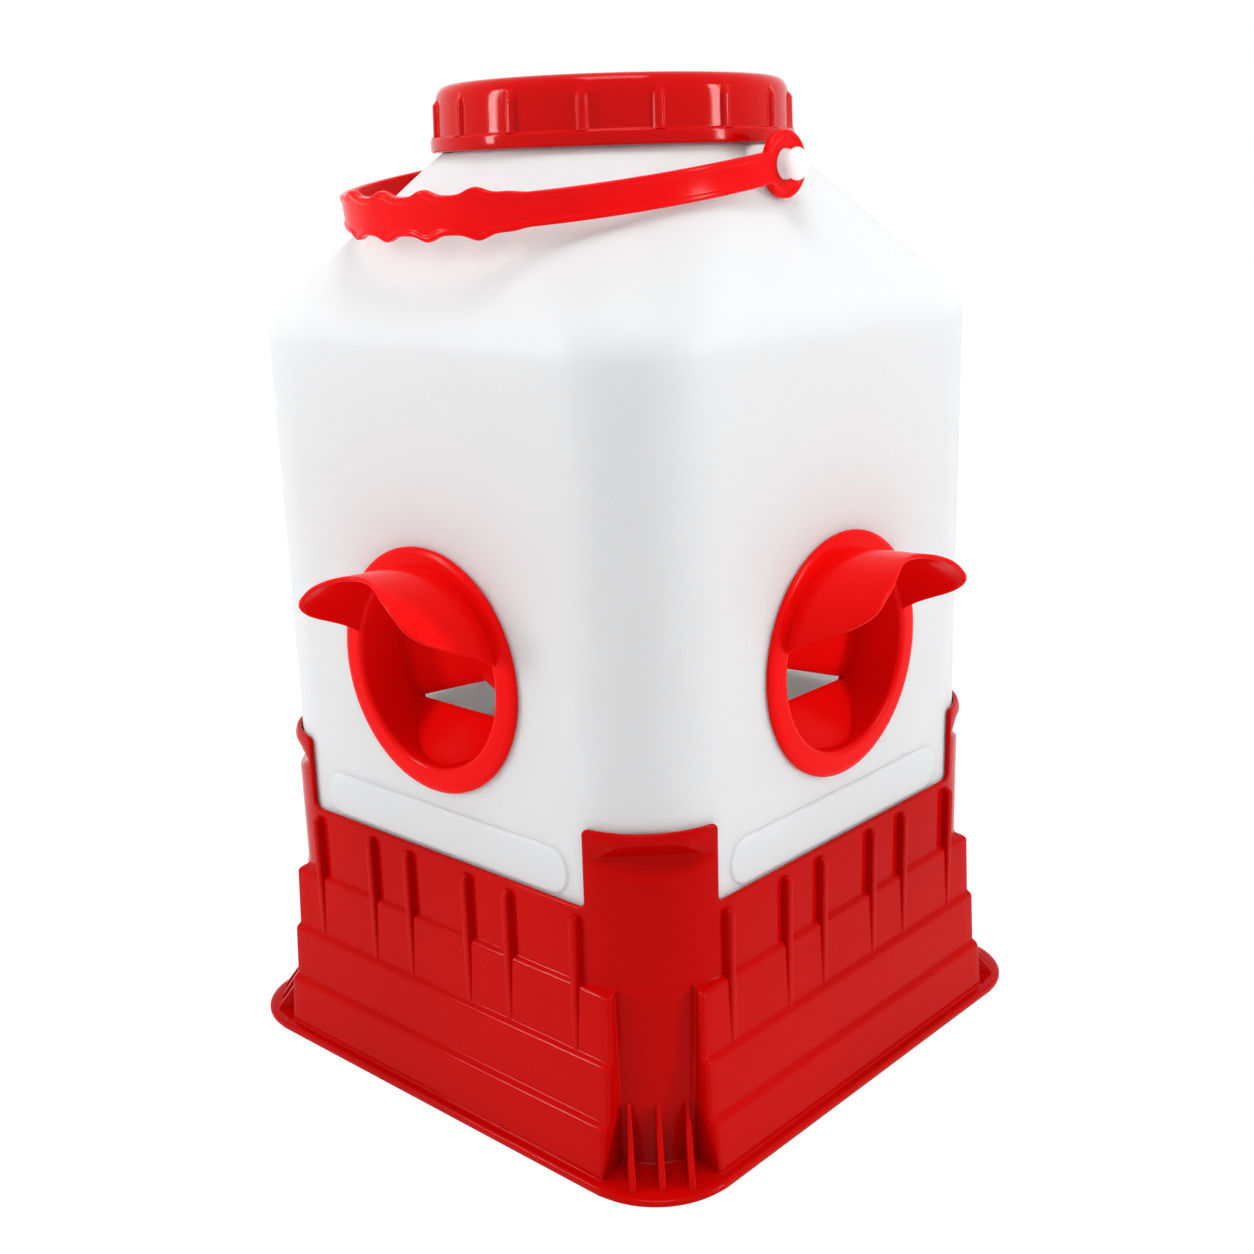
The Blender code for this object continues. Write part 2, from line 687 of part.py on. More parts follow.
def hood():
    """Thin visor: a part-cylinder whose front edge follows HOOD_EDGE."""
    limit = HOOD_EDGE[-1][0]
    rings = []
    for i in range(HOOD_STEPS + 1):
        angle = limit * (2 * i / HOOD_STEPS - 1)
        inner = hood_line(PORT_TUBE_R - PORT_TUBE_WALL, angle)
        rings.append(hood_line(PORT_TUBE_R, angle) + list(reversed(inner)))
    return loft("hood", rings)


def across_tube(name, outline):
    """A wall across the tube from an (outwards, up) outline, trimmed to the middle of the tube's wall."""
    wall = bars_object(name, [(outline, (Y_AXIS, Z_AXIS, X_AXIS))], -PORT_FLANGE_R, PORT_FLANGE_R)
    disc = circle(0, 0, PORT_TUBE_R - PORT_TUBE_WALL / 2)
    boolean(wall, bars_object("trim", [(disc, (X_AXIS, Z_AXIS, Y_AXIS))], -FAR, FAR), "INTERSECT")
    return wall


def port_tray():
    """Floor of the port: it rises from the tube's bottom to a lip at the back."""
    inner, outer = PORT_TUBE_R - PORT_TUBE_WALL, PORT_TUBE_R
    return across_tube("tray", [
        (0.0, -outer), (0.0, -inner), (PORT_TUBE_WALL - TRAY_DEPTH, TRAY_TOP), (-TRAY_DEPTH, TRAY_TOP),
        (-TRAY_DEPTH, TRAY_TOP - TRAY_LIP), (-TRAY_DEPTH / 6, -outer),
    ])


def port_baffle():
    """Wall that slants back from the tube's top and ends in an arch above the feed."""
    half = PORT_TUBE_WALL / 2
    outline = [(y + half, z) for y, z in BAFFLE_LINE] + [(y - half, z) for y, z in reversed(BAFFLE_LINE)]
    baffle = across_tube("baffle", outline)
    arch = circle(0, BAFFLE_LOW - ARCH_R, ARCH_R)
    boolean(baffle, bars_object("arch", [(arch, (X_AXIS, Z_AXIS, Y_AXIS))], -FAR, FAR), "DIFFERENCE")
    return baffle


def port_body():
    thick = PORT_FLANGE_THICK
    inner, outer = PORT_TUBE_R - PORT_TUBE_WALL, PORT_TUBE_R
    web_y = thick - PORT_WEB_DROP
    body = port_turned("port", [
        (inner, -PORT_DEPTH), (outer, -PORT_DEPTH), (outer, FIT_GAP), (PORT_FLANGE_R, FIT_GAP),
        (PORT_FLANGE_R, thick - PORT_RIM_EDGE), (PORT_FLANGE_R - PORT_RIM, thick),
        (PORT_FLANGE_R - 2 * PORT_RIM, web_y), (outer + PORT_CHAMFER, web_y), (inner, web_y - PORT_CHAMFER),
    ])
    for addition in (port_tray(), port_baffle(), hood()):
        boolean(body, addition, "UNION")
    return body


def lock_ring():
    """Nut-like ring that holds a port from inside the tank."""
    inner, back = PORT_TUBE_R + FIT_GAP, -(TANK_WALL + FIT_GAP)
    ring = port_turned("ring", [
        (inner, back), (RING_R, back), (RING_R, back - RING_THICK), (inner, back - RING_THICK),
    ])
    pitch = ROUND_STEPS // RING_NOTCHES
    notched = set()
    for k in range(RING_NOTCHES):
        for i in (0, 1):
            notched.add(k * pitch + i)
    for vert in ring.data.vertices:
        x, z = vert.co.x, vert.co.z
        step = round(math.atan2(z, x) / (2 * math.pi) * ROUND_STEPS) % ROUND_STEPS
        if math.hypot(x, z) > (inner + RING_R) / 2 and step in notched:
            scale = (RING_R - RING_NOTCH) / RING_R
            vert.co.x, vert.co.z = x * scale, z * scale
    return ring


def place_on_face(obj, name, k):
    """Copy a port-frame piece onto the face that looks along -Y turned k quarter turns."""
    face = Matrix.Rotation(k * math.pi / 2, 4, "Z")
    out = Matrix.Translation((0, -TANK_HALF, PORT_Z)) @ Matrix.Rotation(math.pi, 4, "Z")
    mesh = obj.data.copy()
    mesh.transform(face @ out)
    mesh.name = name
    piece = bpy.data.objects.new(name, mesh)
    bpy.context.scene.collection.objects.link(piece)
    return piece


def build_ports(mat):
    body, ring = port_body(), lock_ring()
    for k, side in enumerate(SIDES):
        finish(place_on_face(body, "port_" + side, k), mat)
        finish(place_on_face(ring, "ring_" + side, k), mat)
    bpy.data.objects.remove(body)
    bpy.data.objects.remove(ring)


# Handle
def grip_width(s):
    """Strap width at distance s from the middle of the grip."""
    s = abs(s)
    blend = min(1.0, max(0.0, (GRIP_HALF - s) / GRIP_BLEND))
    bumps = sum(math.exp(-((s - at) / GRIP_BUMP_HALF) ** 2) for at in GRIP_BUMPS)
    return STRAP_WIDTH + (GRIP_VALLEY - STRAP_WIDTH) * blend + GRIP_BUMP * bumps


def handle_path(count):
    """Centre line of the strap in its own plane: (sideways, reach) points from eye to eye."""
    pts = []
    power = 2 / HANDLE_POWER
    for i in range(count + 1):
        t = math.pi * i / count
        c, s = math.cos(t), max(math.sin(t), 0.0)
        reach = HANDLE_REACH * s ** power
        half = (EYE_X + HANDLE_FLARE) * abs(c) ** power - HANDLE_FLARE * math.exp(-reach / FLARE_RUN)
        pts.append((math.copysign(half, c), reach))
    return pts


def even_path(points, count):
    """The same line with evenly spaced points, and the distance of each from the middle."""
    run = [0.0]
    for a, b in zip(points[:-1], points[1:]):
        run.append(run[-1] + math.dist(a, b))
    out = []
    j = 0
    for i in range(count + 1):
        d = run[-1] * i / count
        while j < len(run) - 2 and run[j + 1] < d:
            j += 1
        t = (d - run[j]) / (run[j + 1] - run[j])
        x = points[j][0] + (points[j + 1][0] - points[j][0]) * t
        y = points[j][1] + (points[j + 1][1] - points[j][1]) * t
        out.append((x, y, d - run[-1] / 2))
    return out


def strap_section(wide):
    """Half-round-edged strap section as (through, across) points: thin web between thicker rims."""
    thin, rim = STRAP_THICK / 2, RIM_THICK / 2
    web = wide - RIM_WIDTH
    return [
        (-rim, wide), (rim, wide), (thin, web), (thin, -web), (rim, -wide), (-rim, -wide),
        (-thin, -web), (-thin, web),
    ]


def handle_strap():
    path = even_path(handle_path(5 * HANDLE_STEPS), HANDLE_STEPS)
    last = len(path) - 1
    rings = []
    for i, (x, y, s) in enumerate(path):
        ax, ay, _ = path[max(i - 1, 0)]
        bx, by, _ = path[min(i + 1, last)]
        length = math.hypot(bx - ax, by - ay)
        nx, ny = (by - ay) / length, -(bx - ax) / length
        if i in (0, last):
            nx, ny = math.copysign(1.0, x), 0.0
        section = strap_section(grip_width(s) / 2)
        rings.append([(x + nx * a, -(y + ny * a), b) for a, b in section])
    return loft("handle", rings)


def build_handle(mat):
    """The bail, modelled level and turned about the lugs' axis down to its rest."""
    handle = handle_strap()
    axes = (Y_AXIS, Z_AXIS, X_AXIS)
    for side in (-1, 1):
        low = side * EYE_X - EYE_THICK / 2
        eye = bars_object("eye", [(circle(0, 0, EYE_R), axes)], low, low + EYE_THICK)
        boolean(handle, eye, "UNION")
    bore = circle(0, 0, JOURNAL_R + FIT_GAP, LUG_STEPS)
    boolean(handle, bars_object("eye_bore", [(bore, axes)], -FAR, FAR), "DIFFERENCE")
    handle.data.transform(Matrix.Rotation(HANDLE_DROP, 4, "X"))
    handle.location = (0, 0, PIVOT_Z)
    return finish(handle, mat)


def main():
    for obj in list(bpy.data.objects):
        bpy.data.objects.remove(obj)
    build_stand(material("stand_plastic", *RED))
    white = material("tank_plastic", *WHITE)
    build_tank(white)
    build_neck(white)
    build_lid(material("lid_plastic", *RED))
    build_gasket(material("gasket_rubber", *GREY))
    build_ports(material("port_plastic", *RED))
    build_handle(material("handle_plastic", *RED))


main()
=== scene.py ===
"""Looks of the poultry feeder: fine skins for every moulding, plastics, floor, lights and camera."""

import math

import bmesh
import bpy
import numpy as np
from mathutils import Matrix


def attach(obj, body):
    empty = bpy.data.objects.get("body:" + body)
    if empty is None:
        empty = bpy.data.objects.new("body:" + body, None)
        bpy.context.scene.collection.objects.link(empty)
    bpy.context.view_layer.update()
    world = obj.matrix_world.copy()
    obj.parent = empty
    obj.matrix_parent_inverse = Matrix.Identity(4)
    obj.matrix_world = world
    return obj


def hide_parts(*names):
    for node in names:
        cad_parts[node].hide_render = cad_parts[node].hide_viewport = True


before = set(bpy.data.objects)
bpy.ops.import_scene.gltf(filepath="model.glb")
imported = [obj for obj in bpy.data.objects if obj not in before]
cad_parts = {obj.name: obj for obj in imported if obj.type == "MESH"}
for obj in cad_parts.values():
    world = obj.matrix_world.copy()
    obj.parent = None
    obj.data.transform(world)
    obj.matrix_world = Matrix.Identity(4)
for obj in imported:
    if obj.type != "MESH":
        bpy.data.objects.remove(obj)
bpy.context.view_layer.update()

SIDES = ("front", "right", "back", "left")

# Tank
TANK_HALF, TANK_CORNER, TANK_WALL = 0.1270, 0.0450, 0.0026
ARC_START = TANK_HALF - TANK_CORNER
TANK_BOTTOM_Z, TANK_BOTTOM_ROUND = 0.0269, 0.0060
SHOULDER_Z, SHOULDER_ROUND = 0.3505, 0.0100
COLLAR_R, COLLAR_Z = 0.0780, 0.4200
NECK_R, NECK_WALL, NECK_TOP_Z = 0.0720, 0.0030, 0.4426
THREAD_PITCH, THREAD_RISE, THREAD_HALF = 0.0120, 0.0016, 0.0016
THREAD_LOW_Z, TANK_THREAD_TOP_Z, LID_THREAD_TOP_Z = 0.4245, 0.4395, 0.4385
BAR_HALF, BAR_R, BAR_LIFT = 0.0795, 0.0108, 0.0112
RECESS_DEPTH = 0.0072

# Stand
WALL = 0.0025
WALL_EDGE = 0.0009
CORE_HALF, CORE_R = TANK_HALF + 0.0029, TANK_CORNER + 0.0029
FOOT_HALF, FOOT_CORNER, FOOT_THICK = 0.1460, 0.0390, 0.0040
SEAT_Z, SEAT_HALF = 0.0266, 0.1130
WALL_TOP_Z, POST_TOP_Z = 0.1190, 0.1540
WINDOW_X, WINDOW_ROUND, POST_ROUND = 0.0895, 0.0030, 0.0026
LEDGE_RISE, CHANNEL_STEP, PANEL_EDGE, END_LEAN = 0.0018, 0.0005, 0.0016, 0.0030
# Each panel's top height, how far it stands proud at its foot and top, and its reach there
PANELS = (
    (0.0266, 0.0116, 0.0096, 0.0245, 0.0243),
    (0.0530, 0.0067, 0.0056, 0.0241, 0.0238),
    (0.0836, 0.0031, 0.0021, 0.0235, 0.0230),
)
RIB_POS, RIB_HALF, RIB_EDGE, RIB_TOP_ROUND = (0.0195, 0.0455, 0.0855), 0.0018, 0.0009, 0.0028
RIB_FRONT, RIB_TOP_Z = CORE_HALF + 0.0035, 0.1155
GUSSET_PITCH, GUSSET_HALF, GUSSET_DRAFT, GUSSET_EDGE = 0.0124, 0.0010, 0.0006, 0.0006
GUSSET_TOP_Z = 0.0325
GUSSET_REACH = (FOOT_HALF - FOOT_CORNER) * math.sqrt(2) + FOOT_CORNER - 0.0063
GROOVE_Z, GROOVE_DEPTH, GROOVE_UP, GROOVE_DOWN = POST_TOP_Z - 0.0122, 0.0066, 0.0070, 0.0068
GROOVE_FLOOR, GROOVE_SOFT, LIP_FLARE = 0.16, 0.00035, 0.0010

# Lid
LID_R, LID_LIP_R, LID_TOP_Z = COLLAR_R + 0.0015, COLLAR_R + 0.0040, 0.4487
LID_BORE_R, LID_RECESS_R, LID_RECESS = LID_R - WALL, LID_R - 0.0155, 0.0012
LID_GAP, LID_LIP_HEIGHT = 0.0003, 0.0062
LID_RIBS, LID_RIB_HALF, LID_RIB_PROUD = 16, 0.0024, 0.0017
LID_RIB_TOP = 0.4415
GASKET_R, GASKET_WIDTH, GASKET_THICK = LID_BORE_R - 0.0043, 0.0087, 0.0030

# Ports
TUBE_R, TUBE_WALL, FLANGE_R, FLANGE_THICK = 0.0450, 0.0020, 0.0550, 0.0030
PORT_DEPTH, PORT_Z = 0.0260, 0.2040
HOOD_R, HOOD_WALL, HOOD_RISE, HOOD_ROOT = 0.0470, 0.0020, 0.05, 0.0012
# The hood's front edge: angle in degrees from the port's top, how far it stands out there
HOOD_EDGE = (
    (0.0, 0.0350), (8.0, 0.0358), (16.0, 0.0378), (23.0, 0.0398), (29.0, 0.0412), (35.0, 0.0418),
    (45.0, 0.0418), (50.0, 0.0405), (54.0, 0.0378), (58.0, 0.0338), (62.0, 0.0275), (66.0, 0.0195),
    (70.0, 0.0120), (75.0, 0.0045), (79.0, 0.0018),
)
TRAY_TOP, TRAY_DEPTH = -0.0245, 0.0240
# The baffle's middle line from the tube's top backwards and down: (outwards, up)
BAFFLE_LINE = ((-0.0055, 0.0440), (-0.0075, 0.0385), (-0.0210, 0.0160), (-0.0290, -0.0245))
BAFFLE_LOW, BAFFLE_PEAK, PEAK_HALF, BAFFLE_HALF = -0.0240, 0.0118, 0.0360, 0.0010
RING_GAP, RING_OUT, RING_THICK, RING_NOTCHES, RING_NOTCH = 0.0003, 0.0085, 0.0042, 8, 0.0025

# Handle
PIVOT_Z, EYE_X, EYE_R, EYE_HALF = 0.4110, COLLAR_R + 0.0182, 0.0138, 0.0018
JOURNAL_R, BORE_R = 0.0062, 0.0065
LUG_HEAD_X, LUG_HEAD_LONG, LUG_HEAD_R = 0.1030, 0.0036, 0.0067
HANDLE_REACH, HANDLE_POWER, HANDLE_DROP = 0.1260, 2.4, math.radians(7.4)
GRIP_HALF, GRIP_BUMPS, BUMP_SPREAD, BUMP_PROUD = 0.0600, (0.0125, 0.0375), 0.0052, 0.0050
STRAP_WIDTH, GRIP_WIDTH, STRAP_HALF, STRAP_RIM = 0.0132, 0.0022, 0.0015, 0.0006

# Camera, fitted to the photograph
CAMERA_PLACE, CAMERA_AZIMUTH, CAMERA_PITCH, CAMERA_ROLL = (0.5114, -0.5581, 0.4071), 42.50, 15.66, -1.68
FOCAL_PIXELS, FRAME_PIXELS, SENSOR_WIDTH = 1599.6, 1254, 36.0


# Points nearer than this are one point
WELD = 1e-6


# Skins and pieces
def smooth(a, b, x):
    """0 at a, 1 at b, with an easy curve between."""
    t = np.clip((np.asarray(x, float) - a) / (b - a), 0.0, 1.0)
    return t * t * (3 - 2 * t)


class Moulding:
    """Gathers the skins of one piece and turns them into a single smooth object."""

    def __init__(self):
        self.points, self.faces, self.count = [], [], 0

    def skin(self, rows, around=False, along=False):
        """Quads over a grid of points; around joins the last column to the first, along the rows."""
        rows = np.asarray(rows, float)
        n, m = rows.shape[:2]
        index = np.arange(n * m).reshape(n, m) + self.count
        if around:
            index = np.hstack([index, index[:, :1]])
        if along:
            index = np.vstack([index, index[:1]])
        quads = np.stack([index[:-1, :-1], index[:-1, 1:], index[1:, 1:], index[1:, :-1]], -1)
        self.points.append(rows.reshape(-1, 3))
        self.faces += quads.reshape(-1, 4).tolist()
        self.count += n * m

    def solid(self, rows):
        """A closed body: a grid that goes round, with a cap at each end."""
        n, m = np.asarray(rows).shape[:2]
        start = self.count
        self.skin(rows, around=True)
        self.faces.append(list(range(start, start + m)))
        self.faces.append(list(range(start + (n - 1) * m, start + n * m)))

    def make(self, name, finish, crease=50.0):
        mesh = bpy.data.meshes.new(name)
        mesh.from_pydata(np.concatenate(self.points).tolist(), [], self.faces)
        bm = bmesh.new()
        bm.from_mesh(mesh)
        bmesh.ops.remove_doubles(bm, verts=bm.verts, dist=WELD)
        bmesh.ops.dissolve_degenerate(bm, edges=bm.edges, dist=1e-7)
        bmesh.ops.recalc_face_normals(bm, faces=bm.faces)
        bm.to_mesh(mesh)
        bm.free()
        mesh.materials.append(finish)
        mesh.shade_smooth()
        mesh.set_sharp_from_angle(angle=math.radians(crease))
        piece = bpy.data.objects.new(name, mesh)
        bpy.context.scene.collection.objects.link(piece)
        return piece


def quarter(k):
    """Cosine and sine of k quarter turns."""
    return round(math.cos(k * math.pi / 2)), round(math.sin(k * math.pi / 2))


def eighths(block):
    """The eight copies of a grid that spans from the middle of the -Y side to the corner at +X."""
    x, y, z = block[..., 0], block[..., 1], block[..., 2]
    out = []
    for a, b in ((x, y), (-y, -x)):
        for k in range(4):
            c, s = quarter(k)
            out.append(np.stack([c * a - s * b, s * a + c * b, z], -1))
    return out


def rounded_rows(rings, radii, steps=5):
    """Rows through a list of rings, with each inner ring's edge rounded by its radius."""
    rings = [np.asarray(r, float) for r in rings]
    rows = [rings[0]]
    for i in range(1, len(rings) - 1):
        here, radius = rings[i], radii[i]
        if not radius:
            rows.append(here)
            continue
        cuts = []
        for other in (rings[i - 1], rings[i + 1]):
            length = max(np.linalg.norm(other[0] - here[0]), 1e-6)
            cuts.append(here + (other - here) * min(radius / length, 0.49))
        for t in np.linspace(0, 1, steps + 1):
            rows.append(cuts[0] * (1 - t) ** 2 + here * 2 * t * (1 - t) + cuts[1] * t * t)
    rows.append(rings[-1])
    return np.array(rows)


def lathe(profile, count, axis="z"):
    """Rows turned about an axis from (radius, distance along it) points."""
    turn = np.linspace(0, 2 * math.pi, count, endpoint=False)
    rows = []
    for r, d in profile:
        a, b, c = r * np.cos(turn), r * np.sin(turn), np.full(count, d)
        rows.append(np.stack({"z": (a, b, c), "y": (a, c, b), "x": (c, a, b)}[axis], -1))
    return np.array(rows)


def rounded_profile(points, radii, steps=5):
    """Points of a section with its corners rounded; the section closes on itself."""
    pts = [np.array(p, float) for p in points]
    out = []
    for i, here in enumerate(pts):
        radius = radii[i]
        if not radius:
            out.append(here)
            continue
        ends = []
        for other in (pts[i - 1], pts[(i + 1) % len(pts)]):
            length = np.linalg.norm(other - here)
            ends.append(here + (other - here) * min(radius / length, 0.49))
        for t in np.linspace(0, 1, steps + 1):
            out.append(ends[0] * (1 - t) ** 2 + here * 2 * t * (1 - t) + ends[1] * t * t)
    return out


# Plastics
def node_group(name, inputs, outputs):
    """An empty group of plain number sockets, with its input and output nodes."""
    group = bpy.data.node_groups.new(name, "ShaderNodeTree")
    for label, value in inputs:
        socket = group.interface.new_socket(name=label, in_out="INPUT", socket_type="NodeSocketFloat")
        socket.default_value = value
    for label in outputs:
        group.interface.new_socket(name=label, in_out="OUTPUT", socket_type="NodeSocketFloat")
    return group, group.nodes.new("NodeGroupInput"), group.nodes.new("NodeGroupOutput")


def maths(tree, operation, a, b):
    """One Math node on two numbers or sockets."""
    node = tree.nodes.new("ShaderNodeMath")
    node.operation = operation
    for i, value in enumerate((a, b)):
        if isinstance(value, (int, float)):
            node.inputs[i].default_value = value
        else:
            tree.links.new(value, node.inputs[i])
    return node.outputs[0]


def noise(tree, vector, scale, detail=2.0, rough=0.5, stretch=None):
    """A noise pattern over the surface, drawn out along the axes with a small stretch."""
    if stretch:
        mapping = tree.nodes.new("ShaderNodeMapping")
        mapping.inputs["Scale"].default_value = stretch
        tree.links.new(vector, mapping.inputs["Vector"])
        vector = mapping.outputs["Vector"]
    node = tree.nodes.new("ShaderNodeTexNoise")
    node.inputs["Detail"].default_value = detail
    node.inputs["Roughness"].default_value = rough
    if isinstance(scale, (int, float)):
        node.inputs["Scale"].default_value = scale
    else:
        tree.links.new(scale, node.inputs["Scale"])
    tree.links.new(vector, node.inputs["Vector"])
    return node.outputs["Fac"]


def moulded_surface():
    """What moulding leaves on a plastic: slow tone changes, a faint orange peel and hairline scuffs."""
    group, given, result = node_group(
        "moulded_surface",
        (("Tone scale", 9.0), ("Peel scale", 420.0), ("Peel", 0.5), ("Scuffs", 0.3)),
        ("Tone", "Gloss", "Height", "Scuff"),
    )
    where = group.nodes.new("ShaderNodeTexCoord").outputs["Object"]
    tone = noise(group, where, given.outputs["Tone scale"], 3.0)
    gloss = noise(group, where, 38.0, 4.0, 0.6)
    peel = noise(group, where, given.outputs["Peel scale"], 1.0)
    lines_a = noise(group, where, 90.0, 2.0, 0.5, (9.0, 1.0, 0.35))
    lines_b = noise(group, where, 70.0, 2.0, 0.5, (0.4, 7.0, 1.6))
    scuff = maths(group, "MULTIPLY", lines_a, lines_b)
    scuff = maths(group, "SUBTRACT", scuff, 0.36)
    scuff = maths(group, "MULTIPLY", maths(group, "MAXIMUM", scuff, 0.0), 6.0)
    scuff = maths(group, "MULTIPLY", scuff, given.outputs["Scuffs"])
    height = maths(group, "MULTIPLY", peel, given.outputs["Peel"])
    height = maths(group, "SUBTRACT", height, maths(group, "MULTIPLY", scuff, 0.6))
    for label, value in (("Tone", tone), ("Gloss", gloss), ("Height", height), ("Scuff", scuff)):
        group.links.new(value, result.inputs[label])
    return group


SURFACE = moulded_surface()
# The tank's wall: how deep light spreads in it, and the share and tint of what comes through
WALL_GLOW_DEPTH, WALL_THROUGH, WALL_TINT = 0.012, 0.30, (0.96, 0.925, 0.89, 1.0)


def let_light_through(tree, shader):
    """Show on a wall's face the light that falls on its back."""
    through = tree.nodes.new("ShaderNodeBsdfTranslucent")
    through.inputs["Color"].default_value = WALL_TINT
    mixed = tree.nodes.new("ShaderNodeMixShader")
    mixed.inputs["Fac"].default_value = WALL_THROUGH
    tree.links.new(shader.outputs[0], mixed.inputs[1])
    tree.links.new(through.outputs[0], mixed.inputs[2])
    tree.links.new(mixed.outputs[0], tree.nodes["Material Output"].inputs["Surface"])


def plastic(name, deep, light, rough, peel, scuffs, specular, tone_scale=9.0, flow=None, soft=0.0):
    """A moulded plastic: its two tones, the range of its roughness and how strongly the surface shows."""
    mat = bpy.data.materials.new(name)
    mat.use_nodes = True
    tree = mat.node_tree
    shader = tree.nodes["Principled BSDF"]
    shader.inputs["Specular IOR Level"].default_value = specular
    if soft:
        let_light_through(tree, shader)
        shader.inputs["Subsurface Weight"].default_value = soft
        shader.inputs["Subsurface Scale"].default_value = WALL_GLOW_DEPTH
        shader.inputs["Subsurface Radius"].default_value = (1.0, 1.0, 1.0)
    skin = tree.nodes.new("ShaderNodeGroup")
    skin.node_tree = SURFACE
    skin.inputs["Tone scale"].default_value = tone_scale
    skin.inputs["Peel"].default_value = peel
    skin.inputs["Scuffs"].default_value = scuffs
    tone = skin.outputs["Tone"]
    if flow:
        where = tree.nodes.new("ShaderNodeTexCoord").outputs["Object"]
        streaks = noise(tree, where, 14.0, 3.0, 0.55, flow)
        tone = maths(tree, "MULTIPLY", maths(tree, "ADD", tone, streaks), 0.5)
    ramp = tree.nodes.new("ShaderNodeValToRGB")
    ramp.color_ramp.elements[0].position = 0.30
    ramp.color_ramp.elements[0].color = (*deep, 1.0)
    ramp.color_ramp.elements[1].position = 0.70
    ramp.color_ramp.elements[1].color = (*light, 1.0)
    tree.links.new(tone, ramp.inputs["Fac"])
    tree.links.new(ramp.outputs["Color"], shader.inputs["Base Color"])
    spread = maths(tree, "MULTIPLY", skin.outputs["Gloss"], rough[1] - rough[0])
    worn = maths(tree, "MULTIPLY", skin.outputs["Scuff"], 0.25)
    tree.links.new(maths(tree, "ADD", maths(tree, "ADD", spread, rough[0]), worn), shader.inputs["Roughness"])
    bump = tree.nodes.new("ShaderNodeBump")
    bump.inputs["Strength"].default_value = 0.25
    bump.inputs["Distance"].default_value = 0.00012
    tree.links.new(skin.outputs["Height"], bump.inputs["Height"])
    tree.links.new(bump.outputs["Normal"], shader.inputs["Normal"])
    return mat


STAND_RED = plastic(
    "stand_red", (0.405, 0.0008, 0.0004), (0.455, 0.0014, 0.0008), (0.07, 0.16), 0.5, 0.30, 0.04)
LID_RED = plastic(
    "lid_red", (0.500, 0.0008, 0.0008), (0.555, 0.0016, 0.0014), (0.05, 0.13), 0.4, 0.25, 0.09)
PORT_RED = plastic(
    "port_red", (0.680, 0.0020, 0.0018), (0.740, 0.0032, 0.0028), (0.14, 0.24), 0.4, 0.20, 0.04)
HANDLE_RED = plastic(
    "handle_red", (0.700, 0.0018, 0.0030), (0.760, 0.0030, 0.0042), (0.12, 0.22), 0.4, 0.25, 0.06)
TANK_WHITE = plastic(
    "tank_white", (0.890, 0.942, 0.980), (0.908, 0.954, 0.988), (0.34, 0.48), 0.8, 0.25, 0.16,
    tone_scale=5.0, flow=(1.0, 1.0, 0.15), soft=0.85)
GASKET_GREY = plastic(
    "gasket_grey", (0.26, 0.26, 0.27), (0.34, 0.34, 0.35), (0.60, 0.80), 1.2, 0.20, 0.30)


# Stand, drawn from the middle of the -Y side to the corner and copied eight times
FLAT_X = np.append(np.linspace(0, ARC_START, 6), WINDOW_X - WINDOW_ROUND)
EDGE_COLUMN = len(FLAT_X) - 1
CHANNEL_STEPS = 24


def panel_ring(z, half, end, inset=0.0, step=0.0):
    """The stand's outline where its side panel stands proud: panel, rounded end, channel."""
    core_r = CORE_R + step - inset
    half, end = half - inset, end - inset
    root = end - END_LEAN
    contact = ARC_START + math.sqrt(core_r ** 2 - (root - ARC_START) ** 2)
    r = min(PANEL_EDGE, (half - contact) / 2)
    pts = [(x, -half) for x in FLAT_X]
    pts += [(x, -half) for x in np.linspace(FLAT_X[-1], end - r, 4)[1:]]
    for a in np.radians(np.linspace(18, 90, 5)):
        pts.append((end - r + r * math.sin(a), -(half - r + r * math.cos(a))))
    start = math.atan2(root - ARC_START, contact - ARC_START)
    back = (half - r) - contact
    foot = min(0.0009, 0.45 * back)
    low = np.array([root + (end - root) * foot / back, -(contact + foot)])
    knee = np.array([root, -contact])
    turn = start + foot / core_r
    high = np.array([ARC_START + core_r * math.sin(turn), -ARC_START - core_r * math.cos(turn)])
    for t in (0.0, 0.34, 0.67, 1.0):
        pts.append(low * (1 - t) ** 2 + knee * 2 * t * (1 - t) + high * t * t)
    for a in np.linspace(turn, math.pi / 4, CHANNEL_STEPS + 1)[1:]:
        pts.append((ARC_START + core_r * math.sin(a), -ARC_START - core_r * math.cos(a)))
    return np.array([(x, y, z) for x, y in pts])


def directions(ring):
    """Angle of each column of a ring about the corner's centre, from straight out of the side."""
    angles = np.arctan2(ring[:, 0] - ARC_START, -ring[:, 1] - ARC_START)
    # The columns of a panel's end lie nearly one behind another, so each is set a little on
    apart = 1e-4 * np.arange(len(angles)) * (angles > 0.1) * (angles < 0.7)
    return np.maximum.accumulate(angles) + apart


def core_angles(ring):
    """The same columns carried on to the plain core: x on the flat, an angle on the round corner."""
    angles = directions(ring)
    angles[EDGE_COLUMN] = math.asin((FLAT_X[-1] - ARC_START) / CORE_R)
    return angles


def core_ring(z, angles, inset=0.0, post=False):
    """The plain core's outline; a post has only the columns of the round corner."""
    r = CORE_R - inset
    columns = np.arange(len(angles))
    flat = (columns < EDGE_COLUMN) & (not post)
    x = np.where(flat, FLAT_X[np.minimum(columns, EDGE_COLUMN)], ARC_START + r * np.sin(angles))
    y = np.where(flat, -(CORE_HALF - inset), -ARC_START - r * np.cos(angles))
    return np.stack([x, y, np.full(len(angles), z)], -1)


